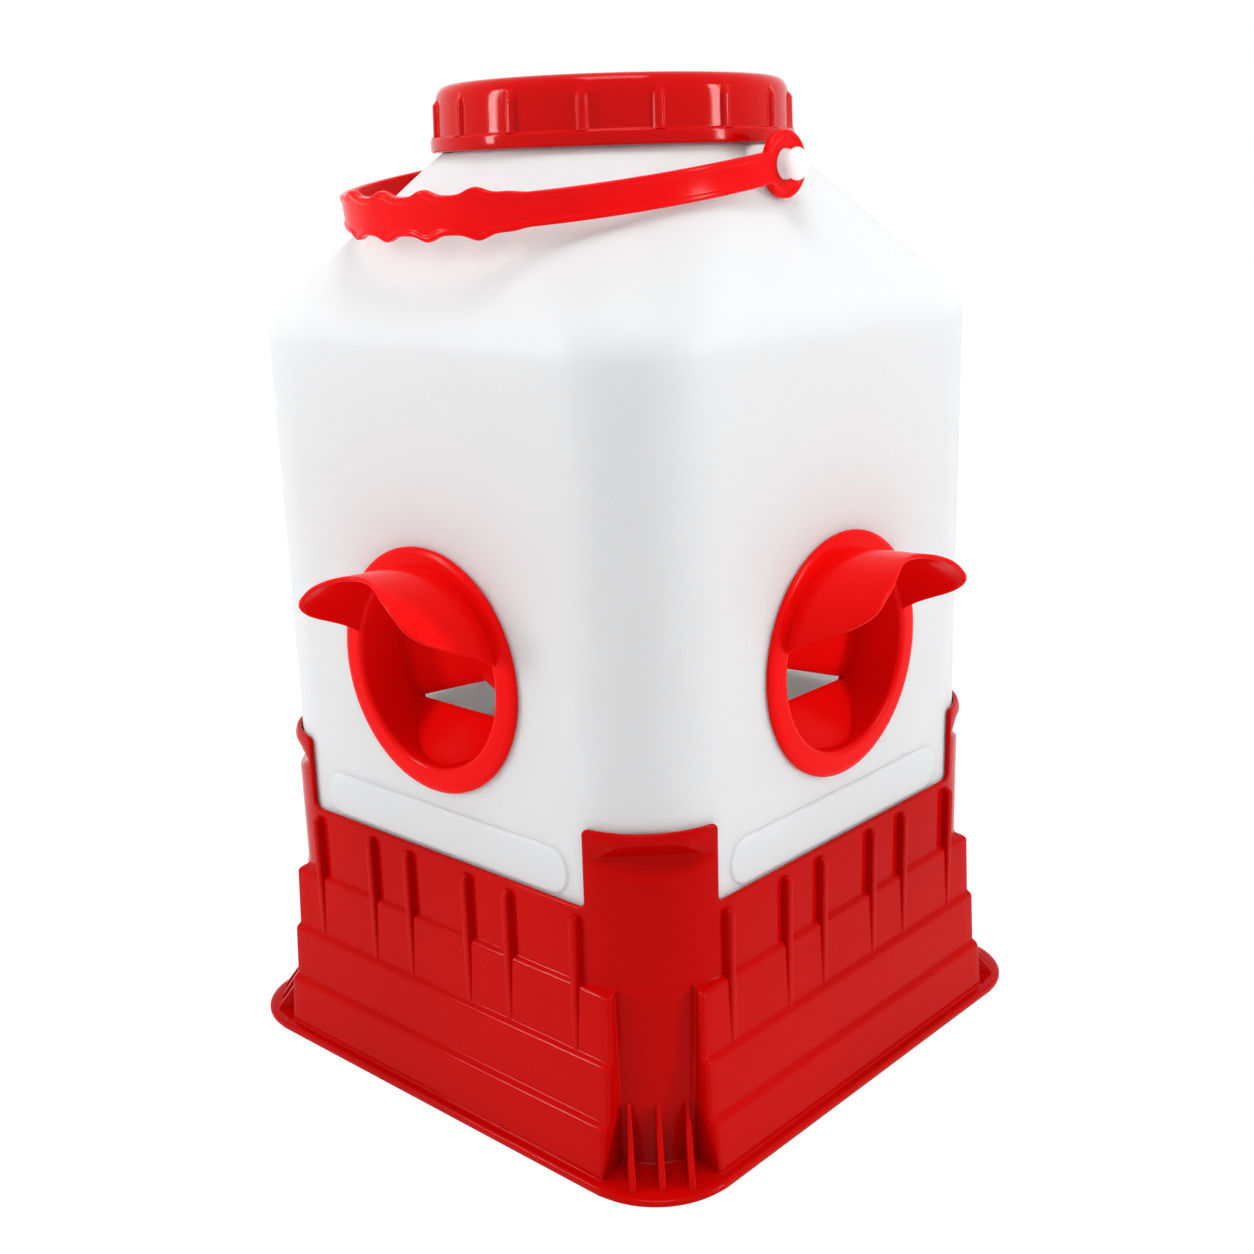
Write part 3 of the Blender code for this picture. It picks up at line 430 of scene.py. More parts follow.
def square_ring(z, half, corner, like):
    """A rounded square whose columns lie outwards of another ring's columns."""
    angles = directions(like)
    centre = half - corner
    shift = ARC_START - centre
    pts = []
    for i, a in enumerate(angles):
        if i < EDGE_COLUMN and like[i, 0] <= max(ARC_START, centre):
            pts.append((like[i, 0], -half, z))
            continue
        s, c = math.sin(a), math.cos(a)
        reach = (half - ARC_START) / c
        if ARC_START + reach * s > centre:
            reach = -shift * (s + c) + math.sqrt(shift ** 2 * (s + c) ** 2 - 2 * shift ** 2 + corner ** 2)
        pts.append((ARC_START + reach * s, -ARC_START - reach * c, z))
    return np.array(pts)


def groove_depth(points, z, inset):
    """Push points of the post inwards where the snap groove crosses the corner, and flare its lip."""
    ahead = (points[..., 0] - points[..., 1]) / math.sqrt(2)
    aside = (points[..., 0] + points[..., 1]) / math.sqrt(2)
    face = ARC_START * math.sqrt(2) + CORE_R
    rise = abs(z - GROOVE_Z) / (GROOVE_UP if z > GROOVE_Z else GROOVE_DOWN)
    rise = math.sqrt(rise ** 2 + GROOVE_FLOOR ** 2) - GROOVE_FLOOR
    limit = face - GROOVE_DEPTH * (1.02 - rise) - inset
    blend = GROOVE_SOFT * np.log1p(np.exp(-np.abs(ahead - limit) / GROOVE_SOFT))
    new = np.minimum(ahead, limit) - blend
    lip = smooth(GROOVE_Z + 0.0045, GROOVE_Z + 0.0082, z) * smooth(POST_TOP_Z, POST_TOP_Z - 0.0030, z)
    new = new + LIP_FLARE * lip * smooth(0.0250, 0.0160, np.abs(aside))
    out = points.copy()
    out[..., 0] = (aside + new) / math.sqrt(2)
    out[..., 1] = (aside - new) / math.sqrt(2)
    return out


def stand_skin(moulding):
    """The whole shell: foot, stepped panels and channels, wall, posts, and the seat inside."""
    outside, inside, tops = [], [], []
    for top_z, out_low, out_top, reach_low, reach_top in PANELS:
        low = CORE_HALF + out_low, ARC_START + reach_low
        top = CORE_HALF + out_top, ARC_START + reach_top
        tops.append((*low, *top, top_z))
    foot_z = FOOT_THICK
    for half0, end0, half1, end1, top_z in tops:
        outside.append(panel_ring(foot_z, half0, end0, 0.0, CHANNEL_STEP))
        outside.append(panel_ring(top_z, half1, end1, 0.0, CHANNEL_STEP))
        foot_z = top_z + LEDGE_RISE
    angles = core_angles(outside[-1])
    outside.append(core_ring(foot_z, angles))
    outside.append(core_ring(WALL_TOP_Z - WALL_EDGE, angles))
    foot = [square_ring(z, FOOT_HALF, FOOT_CORNER, outside[0]) for z in (0.0, FOOT_THICK)]

    inner_foot = 0.0
    for k, (half0, end0, half1, end1, top_z) in enumerate(tops):
        inside.append(panel_ring(inner_foot, half0, end0, WALL, CHANNEL_STEP))
        inside.append(panel_ring(top_z - WALL, half1, end1, WALL, CHANNEL_STEP))
        inner_foot = top_z + LEDGE_RISE - WALL
        if k == 0:
            for z in (SEAT_Z - WALL, SEAT_Z):
                inside.append(square_ring(z, SEAT_HALF, SEAT_HALF - ARC_START, inside[1]))
            inner_foot = SEAT_Z
    inside.append(core_ring(inner_foot, angles, WALL))
    inside.append(core_ring(WALL_TOP_Z - WALL_EDGE, angles, WALL))

    radii = [0, 0.0012, 0.0016, 0.0009] + [0.0013, 0.0008] * 3 + [0]
    outer_rows = rounded_rows([inside[0]] + foot + outside, radii)
    inner_rows = rounded_rows(inside, [0] + [0.0006] * (len(inside) - 2) + [0], 3)

    # The post stands on the wall's last row; its side, corner and top follow one rounded edge
    r_low, r_high = WINDOW_ROUND + WALL_EDGE, POST_ROUND - WALL_EDGE
    low_z, low_x = WALL_TOP_Z + WINDOW_ROUND, WINDOW_X - WINDOW_ROUND
    high_z, high_x = POST_TOP_Z - POST_ROUND, WINDOW_X + POST_ROUND
    side, tilts = [], []
    for a in np.radians(np.linspace(0, 90, 7)):
        side.append((low_z - r_low * math.cos(a), low_x + r_low * math.sin(a)))
        tilts.append((-math.sin(a), math.cos(a)))
    for z in np.linspace(low_z, high_z, 38)[1:]:
        side.append((z, WINDOW_X + WALL_EDGE))
        tilts.append((-1.0, 0.0))
    for a in np.radians(np.linspace(0, 90, 7))[1:]:
        side.append((high_z + r_high * math.sin(a), high_x - r_high * math.cos(a)))
        tilts.append((-math.cos(a), math.sin(a)))
    first = angles[EDGE_COLUMN:]
    spread = (first - first[0]) / (first[-1] - first[0])
    post_angles = []
    for z, x in side:
        begin = math.asin((x - ARC_START) / CORE_R)
        post_angles.append(begin + (math.pi / 4 - begin) * spread)
    post_out, post_in = [], []
    for (z, x), fan in zip(side, post_angles):
        for inset, rows in ((0.0, post_out), (WALL, post_in)):
            ring = core_ring(z, fan, inset, post=True)
            rows.append(groove_depth(ring, z, inset))
    post_out, post_in = np.array(post_out), np.array(post_in)
    post_out[0], post_in[0] = outer_rows[-1][EDGE_COLUMN:], inner_rows[-1][EDGE_COLUMN:]

    # Edge strip over the wall's top, up the post's side and along its top
    path = [(outer_rows[-1][i], inner_rows[-1][i], 0.0, (0.0, 1.0)) for i in range(EDGE_COLUMN)]
    for j in range(len(side)):
        path.append((post_out[j, 0], post_in[j, 0], post_angles[j][0], tilts[j]))
    for i in range(1, post_out.shape[1]):
        path.append((post_out[-1, i], post_in[-1, i], post_angles[-1][i], (0.0, 1.0)))
    strip = []
    for outer, inner, a, (along, up) in path:
        normal = np.array([math.sin(a), -math.cos(a), 0.0])
        lift = np.array([math.cos(a) * along, math.sin(a) * along, up])
        section = []
        for t in np.radians((0, 22, 45, 68, 90)):
            section.append(outer - normal * WALL_EDGE * (1 - math.cos(t)) + lift * WALL_EDGE * math.sin(t))
        for t in np.radians((90, 68, 45, 22, 0)):
            section.append(inner + normal * WALL_EDGE * (1 - math.cos(t)) + lift * WALL_EDGE * math.sin(t))
        strip.append(section)
    for block in (outer_rows, inner_rows, post_out, post_in, np.array(strip)):
        for copy in eighths(block):
            moulding.skin(copy)


def stand_ribs(moulding):
    """Upright ribs with rounded fronts and tops, rooted in the wall."""
    r, root = RIB_EDGE, CORE_HALF - 0.0013
    spring = RIB_TOP_Z - RIB_TOP_ROUND
    levels = [(PANELS[1][0] + 0.0004, 0.0), (spring, 0.0)]
    for a in np.radians(np.linspace(15, 90, 6)):
        levels.append((spring + RIB_TOP_ROUND * math.sin(a), RIB_TOP_ROUND * (1 - math.cos(a))))
    for k in range(4):
        c, s = quarter(k)
        for pos in RIB_POS + tuple(-p for p in RIB_POS):
            rows = []
            for z, back in levels:
                front, half = RIB_FRONT - back, RIB_HALF - 0.25 * back
                section = [(-RIB_HALF - 0.0002, -root)]
                for t in np.radians(np.linspace(180, 270, 5)):
                    section.append((-half + r + r * math.cos(t), -front + r + r * math.sin(t)))
                for t in np.radians(np.linspace(270, 360, 5)):
                    section.append((half - r + r * math.cos(t), -front + r + r * math.sin(t)))
                section.append((RIB_HALF + 0.0002, -root))
                rows.append([(c * (pos + x) - s * y, s * (pos + x) + c * y, z) for x, y in section])
            moulding.solid(rows)


def stand_gussets(moulding):
    """Thin webs in each corner channel, sloping from the channel down to the foot's rim."""
    r = GUSSET_EDGE
    centre = ARC_START * math.sqrt(2)
    for k in range(4):
        a = -math.pi / 4 + k * math.pi / 2
        ahead = np.array([math.cos(a), math.sin(a), 0])
        aside = np.array([-math.sin(a), math.cos(a), 0])
        for step in (-1, 0, 1):
            offset = step * GUSSET_PITCH
            face = centre + math.sqrt(CORE_R ** 2 - offset ** 2)
            line = [(0.0020, GUSSET_REACH), (0.0050, GUSSET_REACH)]
            line += [(0.0058, GUSSET_REACH - 0.0006), (GUSSET_TOP_Z - 0.0020, face + 0.0026)]
            line += [(GUSSET_TOP_Z - 0.0006, face + 0.0019), (GUSSET_TOP_Z, face + 0.0004)]
            rows = []
            for z, front in line:
                half = GUSSET_HALF + GUSSET_DRAFT * (1 - z / GUSSET_TOP_Z)
                section = [(face - 0.0012, -half)]
                for t in np.radians(np.linspace(-90, 0, 4)):
                    section.append((front - r + r * math.cos(t), -half + r + r * math.sin(t)))
                for t in np.radians(np.linspace(0, 90, 4)):
                    section.append((front - r + r * math.cos(t), half - r + r * math.sin(t)))
                section.append((face - 0.0012, half))
                rows.append([ahead * d + aside * (offset + q) + np.array([0, 0, z]) for d, q in section])
            moulding.solid(rows)


def make_stand():
    moulding = Moulding()
    stand_skin(moulding)
    stand_ribs(moulding)
    stand_gussets(moulding)
    piece = moulding.make("stand_moulding", STAND_RED)
    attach(piece, "stand")
    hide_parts("stand")


# Tank
def tank_ring(z, half, corner, flat=9, bend=16):
    """The tank's outline from the middle of the -Y side to the corner at +X."""
    centre = half - corner
    pts = [(x, -half, z) for x in np.linspace(0, centre, flat)[:-1]]
    for a in np.linspace(0, math.pi / 4, bend):
        pts.append((centre + corner * math.sin(a), -centre - corner * math.cos(a), z))
    return np.array(pts)


def tank_levels(wall, top_wall):
    """(z, half width, corner radius) from the middle of the base to under the collar."""
    low = TANK_BOTTOM_Z + wall
    rise = COLLAR_Z - SHOULDER_Z
    slope, corner_slope = (COLLAR_R - TANK_HALF) / rise, (COLLAR_R - TANK_CORNER) / rise
    edge = TANK_BOTTOM_ROUND - wall
    levels = [(low, 0.0, 0.0), (low, 0.04, 0.02), (low, 0.09, 0.03)]
    for a in np.radians(np.linspace(0, 90, 7)):
        shrink = wall + edge * (1 - math.sin(a))
        levels.append((low + edge * (1 - math.cos(a)), TANK_HALF - shrink, TANK_CORNER - shrink))
    for z in (0.060, 0.100, 0.140, *np.arange(0.1430, 0.1560, 0.0008), 0.160, 0.204, 0.250, 0.300):
        levels.append((z, TANK_HALF - wall, TANK_CORNER - wall))
    for t in np.linspace(0, 1, 13):
        z = SHOULDER_Z + SHOULDER_ROUND * (2 * t - 1)
        bend = SHOULDER_ROUND * t * t
        side = wall + (top_wall - wall) * t
        levels.append((z, TANK_HALF + slope * bend - side, TANK_CORNER + corner_slope * bend - side))
    for t in np.linspace(0, 1, 13)[1:]:
        run = SHOULDER_ROUND + (rise - 0.0030 - SHOULDER_ROUND) * t
        half, corner = TANK_HALF + slope * run, TANK_CORNER + corner_slope * run
        levels.append((SHOULDER_Z + run, half - top_wall, corner - top_wall))
    return levels


def corner_recess(ring, z, inset):
    """The tank's corners are flattened below the posts' snap beads."""
    ahead = (ring[:, 0] - ring[:, 1]) / math.sqrt(2)
    aside = (ring[:, 0] + ring[:, 1]) / math.sqrt(2)
    face = ARC_START * math.sqrt(2) + TANK_CORNER
    top_z = POST_TOP_Z - 0.0003 + (0.0 if inset == 0 else TANK_WALL * 1.4)
    if z < top_z - RECESS_DEPTH:
        cut = RECESS_DEPTH
    elif z < top_z:
        cut = top_z - z
    else:
        cut = -1.0
    limit = face - inset - cut
    ahead = np.minimum(ahead, limit)
    out = ring.copy()
    out[:, 0], out[:, 1] = (aside + ahead) / math.sqrt(2), (aside - ahead) / math.sqrt(2)
    return out


def tank_shell(moulding):
    """The blow-moulded wall, outside and inside, with its collar and neck."""
    outer, inner = [], []
    for wall, top_wall, rows in ((0.0, 0.0, outer), (TANK_WALL, TANK_WALL * 1.35, inner)):
        for z, half, corner in tank_levels(wall, top_wall):
            ring = tank_ring(z, half, min(corner, half))
            rows.append(corner_recess(ring, z, wall) if 0.03 < z < 0.17 else ring)
    turns = [
        (COLLAR_Z - 0.0006, COLLAR_R), (COLLAR_Z - 0.0002, COLLAR_R - 0.0003), (COLLAR_Z, COLLAR_R - 0.0009),
        (COLLAR_Z, NECK_R + 0.0010), (COLLAR_Z + 0.0003, NECK_R + 0.0003), (COLLAR_Z + 0.0010, NECK_R),
        (0.4310, NECK_R), (NECK_TOP_Z - 0.0010, NECK_R), (NECK_TOP_Z - 0.0003, NECK_R - 0.0003),
        (NECK_TOP_Z, NECK_R - 0.0010), (NECK_TOP_Z, NECK_R - 0.0020), (NECK_TOP_Z - 0.0003, NECK_R - 0.0027),
        (NECK_TOP_Z - 0.0010, NECK_R - NECK_WALL), (0.4300, NECK_R - NECK_WALL),
        (COLLAR_Z, NECK_R - NECK_WALL),
    ]
    rows = outer + [tank_ring(z, r, r) for z, r in turns] + inner[::-1]
    for copy in eighths(np.array(rows)):
        moulding.skin(copy)


def thread(moulding, radius, high, inward=False, phase=0.0):
    """A screw ridge of one start, fading out at both ends."""
    low = THREAD_LOW_Z
    turns = (high - low) / THREAD_PITCH
    count = int(110 * turns)
    sign = -1 if inward else 1
    rows = []
    for i in range(count + 1):
        t = i / count
        a = 2 * math.pi * turns * t + phase
        z = low + (high - low) * t
        fade = float(smooth(0, 0.09, t) * smooth(1, 0.91, t))
        tip = radius + sign * (THREAD_RISE * fade - 0.0003 * (1 - fade))
        root = radius - sign * 0.0006
        upper = [(tip, THREAD_HALF * 0.35), (radius, THREAD_HALF * 0.95), (root, THREAD_HALF)]
        section = [(r, -d) for r, d in reversed(upper)] + upper
        rows.append([(r * math.cos(a), r * math.sin(a), z + d) for r, d in section])
    moulding.solid(rows)


def tank_lugs(moulding):
    """Handle lugs: a shank from the shoulder, the journal, a waist and a ball-like head."""
    eye_in, eye_out = EYE_X - EYE_HALF, EYE_X + EYE_HALF + 0.0003
    profile = [(COLLAR_R - 0.0060, 0.0085), (eye_in - 0.0050, 0.0079), (eye_in - 0.0020, 0.0073)]
    profile += [(eye_in - 0.0003, JOURNAL_R), (eye_out - 0.0004, JOURNAL_R), (eye_out, JOURNAL_R - 0.0004)]
    profile += [(eye_out + 0.0008, 0.0042), (eye_out + 0.0012, 0.0041)]
    for a in np.radians(np.linspace(140, 4, 12)):
        profile.append((LUG_HEAD_X + LUG_HEAD_LONG * math.cos(a), LUG_HEAD_R * math.sin(a)))
    rows = lathe([(r, d) for d, r in profile], 40, "x")
    rows[..., 2] += PIVOT_Z
    for side in (1, -1):
        moulding.solid(rows * np.array([side, 1, 1]))


def tank_bars(moulding):
    """Raised bars with soft edges on the four faces, above the stand's wall."""
    flat, middle_z = BAR_HALF - BAR_R, WALL_TOP_Z + BAR_LIFT
    # How far each layer draws in, and how far it stands out of the wall
    layers = [
        (0.0, -0.0012), (0.0, -0.0001), (0.0003, 0.0003),
        (0.0008, 0.0007), (0.0015, 0.00095), (0.0024, 0.0010),
    ]
    rows = []
    for shrink, proud in layers:
        r, y = BAR_R - shrink, -(TANK_HALF + proud)
        ring = []
        for end, turn in ((flat, np.linspace(-90, 90, 25)), (-flat, np.linspace(90, 270, 25))):
            ring += [(end + r * math.cos(a), y, middle_z + r * math.sin(a)) for a in np.radians(turn)]
        rows.append(ring)
    x, y, z = np.moveaxis(np.array(rows), -1, 0)
    for k in range(4):
        c, s = quarter(k)
        moulding.solid(np.stack([c * x - s * y, s * x + c * y, z], -1))


def cut_port_holes(piece):
    """Open the tank's faces where the ports' tubes pass through."""
    hole_r = TUBE_R + 0.0003
    for axis, swap in (("y", (0, 1)), ("x", (1, 0))):
        rows = lathe([(hole_r, -0.2), (hole_r, 0.2)], 96, "y")
        rows = np.stack([rows[..., swap[0]], rows[..., swap[1]], rows[..., 2] + PORT_Z], -1)
        cutter = Moulding()
        cutter.solid(rows)
        tool = cutter.make("port_holes_" + axis, TANK_WHITE)
        mod = piece.modifiers.new("holes", "BOOLEAN")
        mod.operation, mod.solver, mod.object = "DIFFERENCE", "EXACT", tool
        graph = bpy.context.evaluated_depsgraph_get()
        mesh = bpy.data.meshes.new_from_object(piece.evaluated_get(graph))
        piece.modifiers.remove(mod)
        piece.data = mesh
        bpy.data.objects.remove(tool)


def make_tank():
    shell = Moulding()
    tank_shell(shell)
    piece = shell.make("tank_shell", TANK_WHITE, crease=40.0)
    cut_port_holes(piece)
    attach(piece, "tank")
    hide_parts("tank", "tank_neck")
    details = Moulding()
    thread(details, NECK_R, TANK_THREAD_TOP_Z)
    tank_lugs(details)
    tank_bars(details)
    trim = details.make("tank_lugs_and_bars", TANK_WHITE)
    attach(trim, "tank")
    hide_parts("tank")


# Lid and gasket
def lid_angles():
    """Directions of the lid's columns: close together over each grip rib, wide between."""
    pitch = 2 * math.pi / LID_RIBS
    half = np.array([0.0010, 0.0016, 0.0020, 0.0023, 0.0026, 0.0031])
    near = np.concatenate([-half[::-1], [0.0], half]) / LID_R
    gap = np.linspace(near[-1], pitch + near[0], 8)[1:-1]
    one = np.concatenate([near, gap])
    return np.concatenate([one + pitch * (k + 0.5) for k in range(LID_RIBS)])


def lid_section():
    """The lid's section, with more points up the ribbed side."""
    bottom = COLLAR_Z + LID_GAP
    lip_top = bottom + LID_LIP_HEIGHT
    bore, recess_r, under = LID_BORE_R, LID_RECESS_R, LID_TOP_Z - WALL
    points = [
        (bore, bottom), (LID_LIP_R, bottom), (LID_LIP_R, lip_top), (LID_R, lip_top),
        (LID_R - 0.0006, LID_TOP_Z), (recess_r + 0.0015, LID_TOP_Z), (recess_r, LID_TOP_Z - LID_RECESS),
        (0.0, LID_TOP_Z - LID_RECESS), (0.0, under - LID_RECESS), (recess_r - 0.0040, under - LID_RECESS),
        (recess_r - 0.0020, under), (bore, under),
    ]
    radii = [0.0004, 0.0012, 0.0014, 0.0007, 0.0085, 0.0008, 0.0008, 0, 0, 0.0008, 0.0008, 0.0040]
    section = rounded_profile(points, radii, 7)
    fine = []
    for p, q in zip(section, section[1:] + section[:1]):
        fine.append(p)
        if abs(p[0] - q[0]) < 0.001 and q[1] - p[1] > 0.004 and p[0] > LID_R - 0.001:
            fine += [p + (q - p) * t for t in np.linspace(0, 1, 14)[1:-1]]
    return fine


def lid_rib_proud(away, r, z):
    """How far the grip ribs stand out at one height, from each column's way off the nearest rib."""
    lip_top = COLLAR_Z + LID_GAP + LID_LIP_HEIGHT
    if r <= LID_R - 0.002 or z < lip_top - 0.0006:
        return 0.0 * away
    far = np.hypot(away, max(z - (LID_RIB_TOP - LID_RIB_HALF), 0.0))
    proud = LID_RIB_PROUD * (1 - smooth(LID_RIB_HALF - 0.0011, LID_RIB_HALF + 0.0002, far))
    proud = proud * float(smooth(lip_top - 0.0006, lip_top - 0.0001, z))
    if r > LID_R + 0.0002:
        proud = np.minimum(proud, LID_LIP_R - r) * (1.0 if z > lip_top - 0.0002 else 0.0)
    return proud


def make_lid():
    angles = lid_angles()
    pitch = 2 * math.pi / LID_RIBS
    away = (np.mod(angles, pitch) - pitch / 2) * LID_R
    rows = []
    for r, z in lid_section():
        reach = r + lid_rib_proud(away, r, z)
        rows.append(np.stack([reach * np.cos(angles), reach * np.sin(angles), np.full(len(angles), z)], -1))
    moulding = Moulding()
    moulding.skin(rows, around=True, along=True)
    thread(moulding, LID_BORE_R, LID_THREAD_TOP_Z, inward=True, phase=math.pi)
    piece = moulding.make("lid_cap", LID_RED)
    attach(piece, "lid")
    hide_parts("lid")


def make_gasket():
    low = NECK_TOP_Z + LID_GAP
    high, inner_r = low + GASKET_THICK, GASKET_R - GASKET_WIDTH
    corners = [(inner_r, low), (GASKET_R, low), (GASKET_R, high), (inner_r, high)]
    gasket = Moulding()
    gasket.skin(lathe(rounded_profile(corners, [0.0006] * 4, 4), 128), around=True, along=True)
    seal = gasket.make("lid_seal", GASKET_GREY)
    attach(seal, "gasket")
    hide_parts("lid_gasket")


# Ports, about their own axis: x sideways, y outwards, z up
def hood_reach(angle):
    """How far the hood stands out at an angle in degrees, with HOOD_EDGE drawn as a soft curve."""
    angles, reach = zip(*HOOD_EDGE)
    fine = np.linspace(0, angles[-1], 400)
    curve = np.interp(fine, angles, reach)
    kernel = np.exp(-np.linspace(-2, 2, 25) ** 2)
    padded = np.concatenate([curve[12:0:-1], curve, np.full(12, curve[-1])])
    return np.interp(np.abs(angle), fine, np.convolve(padded, kernel / kernel.sum(), "valid"))


def port_hood(moulding):
    """The visor: part of a tube with a rounded front edge that follows HOOD_EDGE."""
    limit = HOOD_EDGE[-1][0]
    angles = np.linspace(-limit, limit, 141)
    reach = hood_reach(angles)
    root, outer, inner = HOOD_ROOT, HOOD_R, HOOD_R - HOOD_WALL
    edge = (outer - inner) / 2
    rows = []
    for a, far in zip(np.radians(angles), np.maximum(reach, root + 0.0014)):
        line = [(outer, root + (far - edge - root) * t) for t in np.linspace(0, 1, 15)]
        for t in np.radians((22, 45, 68, 90, 112, 135, 158)):
            line.append(((outer + inner) / 2 + edge * math.cos(t), far - edge + edge * math.sin(t)))
        line += [(inner, root + (far - edge - root) * t) for t in np.linspace(1, 0, 15)]
        rows.append([(r * math.sin(a), y, r * math.cos(a) + HOOD_RISE * y) for r, y in line])
    moulding.solid(rows)


def across_tube(moulding, upper, lower, reach):
    """A curved wall across the tube: two lines of (outwards, up) points, trimmed to the tube's bore."""
    rows = []
    line = list(upper) + list(reversed(lower))
    for t in np.linspace(-1, 1, 49):
        row = []
        for y, z in line:
            half = math.sqrt(max(reach ** 2 - z ** 2, 0.0))
            row.append((t * half, y, z))
        rows.append(row)
    moulding.solid(rows)


def port_tray(moulding):
    """The scoop's floor: rises in a curve from the mouth to a lip at the back."""
    inner = TUBE_R - TUBE_WALL
    reach = inner + 0.0010
    upper, lower = [], []
    for t in np.linspace(0, 1, 16):
        y = 0.0004 - (TRAY_DEPTH - 0.0016) * t
        z = -inner - 0.0006 + (TRAY_TOP + inner + 0.0006) * (t ** 1.25)
        upper.append((y, z))
        lower.append((y + 0.0002 - 0.0006 * t, max(z - 0.0024, -reach + 0.00005)))
    upper += [(-TRAY_DEPTH + 0.0008, TRAY_TOP + 0.0003), (-TRAY_DEPTH, TRAY_TOP - 0.0004)]
    lower += [(-TRAY_DEPTH + 0.0006, TRAY_TOP - 0.0029), (-TRAY_DEPTH, TRAY_TOP - 0.0024)]
    across_tube(moulding, upper, lower, reach)


def port_baffle(moulding):
    """Wall that slants back from the tube's top and ends in a shallow peak above the feed."""
    ys, zs = zip(*BAFFLE_LINE)
    reach = TUBE_R - 0.0010
    rows = []
    for x in np.linspace(-reach + 0.0001, reach - 0.0001, 81):
        top = math.sqrt(reach ** 2 - x ** 2)
        middle = max(0.0, 1 - abs(x) / PEAK_HALF)
        low = max(-top, BAFFLE_LOW + BAFFLE_PEAK * middle)
        low = min(low, top - 0.0002)
        levels = np.linspace(low, top, 22)
        fall = np.clip((0.0200 - levels) / 0.0400, 0.0, 1.0)
        depth = np.interp(levels, zs[::-1], ys[::-1]) + (0.0045 - 0.0115 * middle) * fall
        front = [(x, y + BAFFLE_HALF, z) for y, z in zip(depth, levels)]
        back = [(x, y - BAFFLE_HALF, z) for y, z in zip(depth, levels)]
        tip = [(x, depth[0] - 0.0006, low - 0.0004), (x, depth[0] + 0.0006, low - 0.0004)]
        rows.append(front + back[::-1] + tip)
    moulding.solid(rows)


def port_mouth():
    """One port's moulding: flange, tube, hood, tray and baffle."""
    inner = TUBE_R - TUBE_WALL
    points = [
        (inner, -PORT_DEPTH), (TUBE_R, -PORT_DEPTH), (TUBE_R, 0.0003), (FLANGE_R, 0.0003), (FLANGE_R, 0.0020),
        (FLANGE_R - 0.0022, FLANGE_THICK), (inner, FLANGE_THICK + 0.0006),
    ]
    radii = [0.0005, 0.0005, 0, 0.0006, 0.0010, 0.0012, 0.0032]
    body = Moulding()
    body.skin(lathe(rounded_profile(points, radii, 6), 144, "y"), around=True, along=True)
    port_hood(body)
    port_tray(body)
    port_baffle(body)
    return body


def lock_ring():
    """The ring that holds a port from inside the tank, with grip notches round its rim."""
    back, count = -(TANK_WALL + 0.0003), 192
    front, in_r, out_r = back - RING_THICK, TUBE_R + RING_GAP, TUBE_R + RING_OUT
    corners = [(in_r, back), (out_r, back), (out_r, front), (in_r, front)]
    rows = lathe(rounded_profile(corners, [0.0003, 0.0009, 0.0009, 0.0004], 4), count, "y")
    turn = np.linspace(0, 2 * math.pi, count, endpoint=False)
    land = smooth(0.10, 0.14, np.abs(np.mod(turn * RING_NOTCHES / (2 * math.pi), 1.0) - 0.5))
    reach = np.hypot(rows[..., 0], rows[..., 2])
    shrink = 1 - (RING_NOTCH / out_r) * (1 - land)[None, :] * smooth(in_r + 0.002, out_r - 0.002, reach)
    rows[..., 0] *= shrink
    rows[..., 2] *= shrink
    ring = Moulding()
    ring.skin(rows, around=True, along=True)
    return ring


def make_ports():
    mouth, nut = port_mouth(), lock_ring()
    for k, side in enumerate(SIDES):
        place = Matrix.Rotation(k * math.pi / 2, 4, "Z") @ Matrix.Translation((0, -TANK_HALF, PORT_Z))
        place = place @ Matrix.Rotation(math.pi, 4, "Z")
        for source, node, ending in ((mouth, "port_" + side, "_mouth"), (nut, "ring_" + side, "_nut")):
            piece = source.make(node + ending, PORT_RED)
            piece.data.transform(place)
            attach(piece, "tank")
            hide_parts(node)


# Handle
def strap_line(count):
    """Evenly spaced centre line of the strap: (sideways, reach, distance from the grip's middle)."""
    t = np.linspace(0, math.pi, 4000)
    c, s = np.cos(t), np.maximum(np.sin(t), 0)
    power = 2 / HANDLE_POWER
    reach = HANDLE_REACH * s ** power
    x = np.sign(c) * ((EYE_X + 0.0010) * np.abs(c) ** power - 0.0010 * np.exp(-reach / 0.0150))
    run = np.concatenate([[0], np.cumsum(np.hypot(np.diff(x), np.diff(reach)))])
    even = np.linspace(0.0090, run[-1] - 0.0090, count)
    return np.interp(even, run, x), np.interp(even, run, reach), even - run[-1] / 2


def strap_width(s):
    """The strap's width along its line: plain, then wider with finger bumps over the grip."""
    s = np.abs(s)
    blend = smooth(0.0, 1.0, (GRIP_HALF - s) / 0.0100)
    bumps = sum(np.exp(-((s - at) / BUMP_SPREAD) ** 2) for at in GRIP_BUMPS)
    return STRAP_WIDTH + GRIP_WIDTH * blend + BUMP_PROUD * bumps


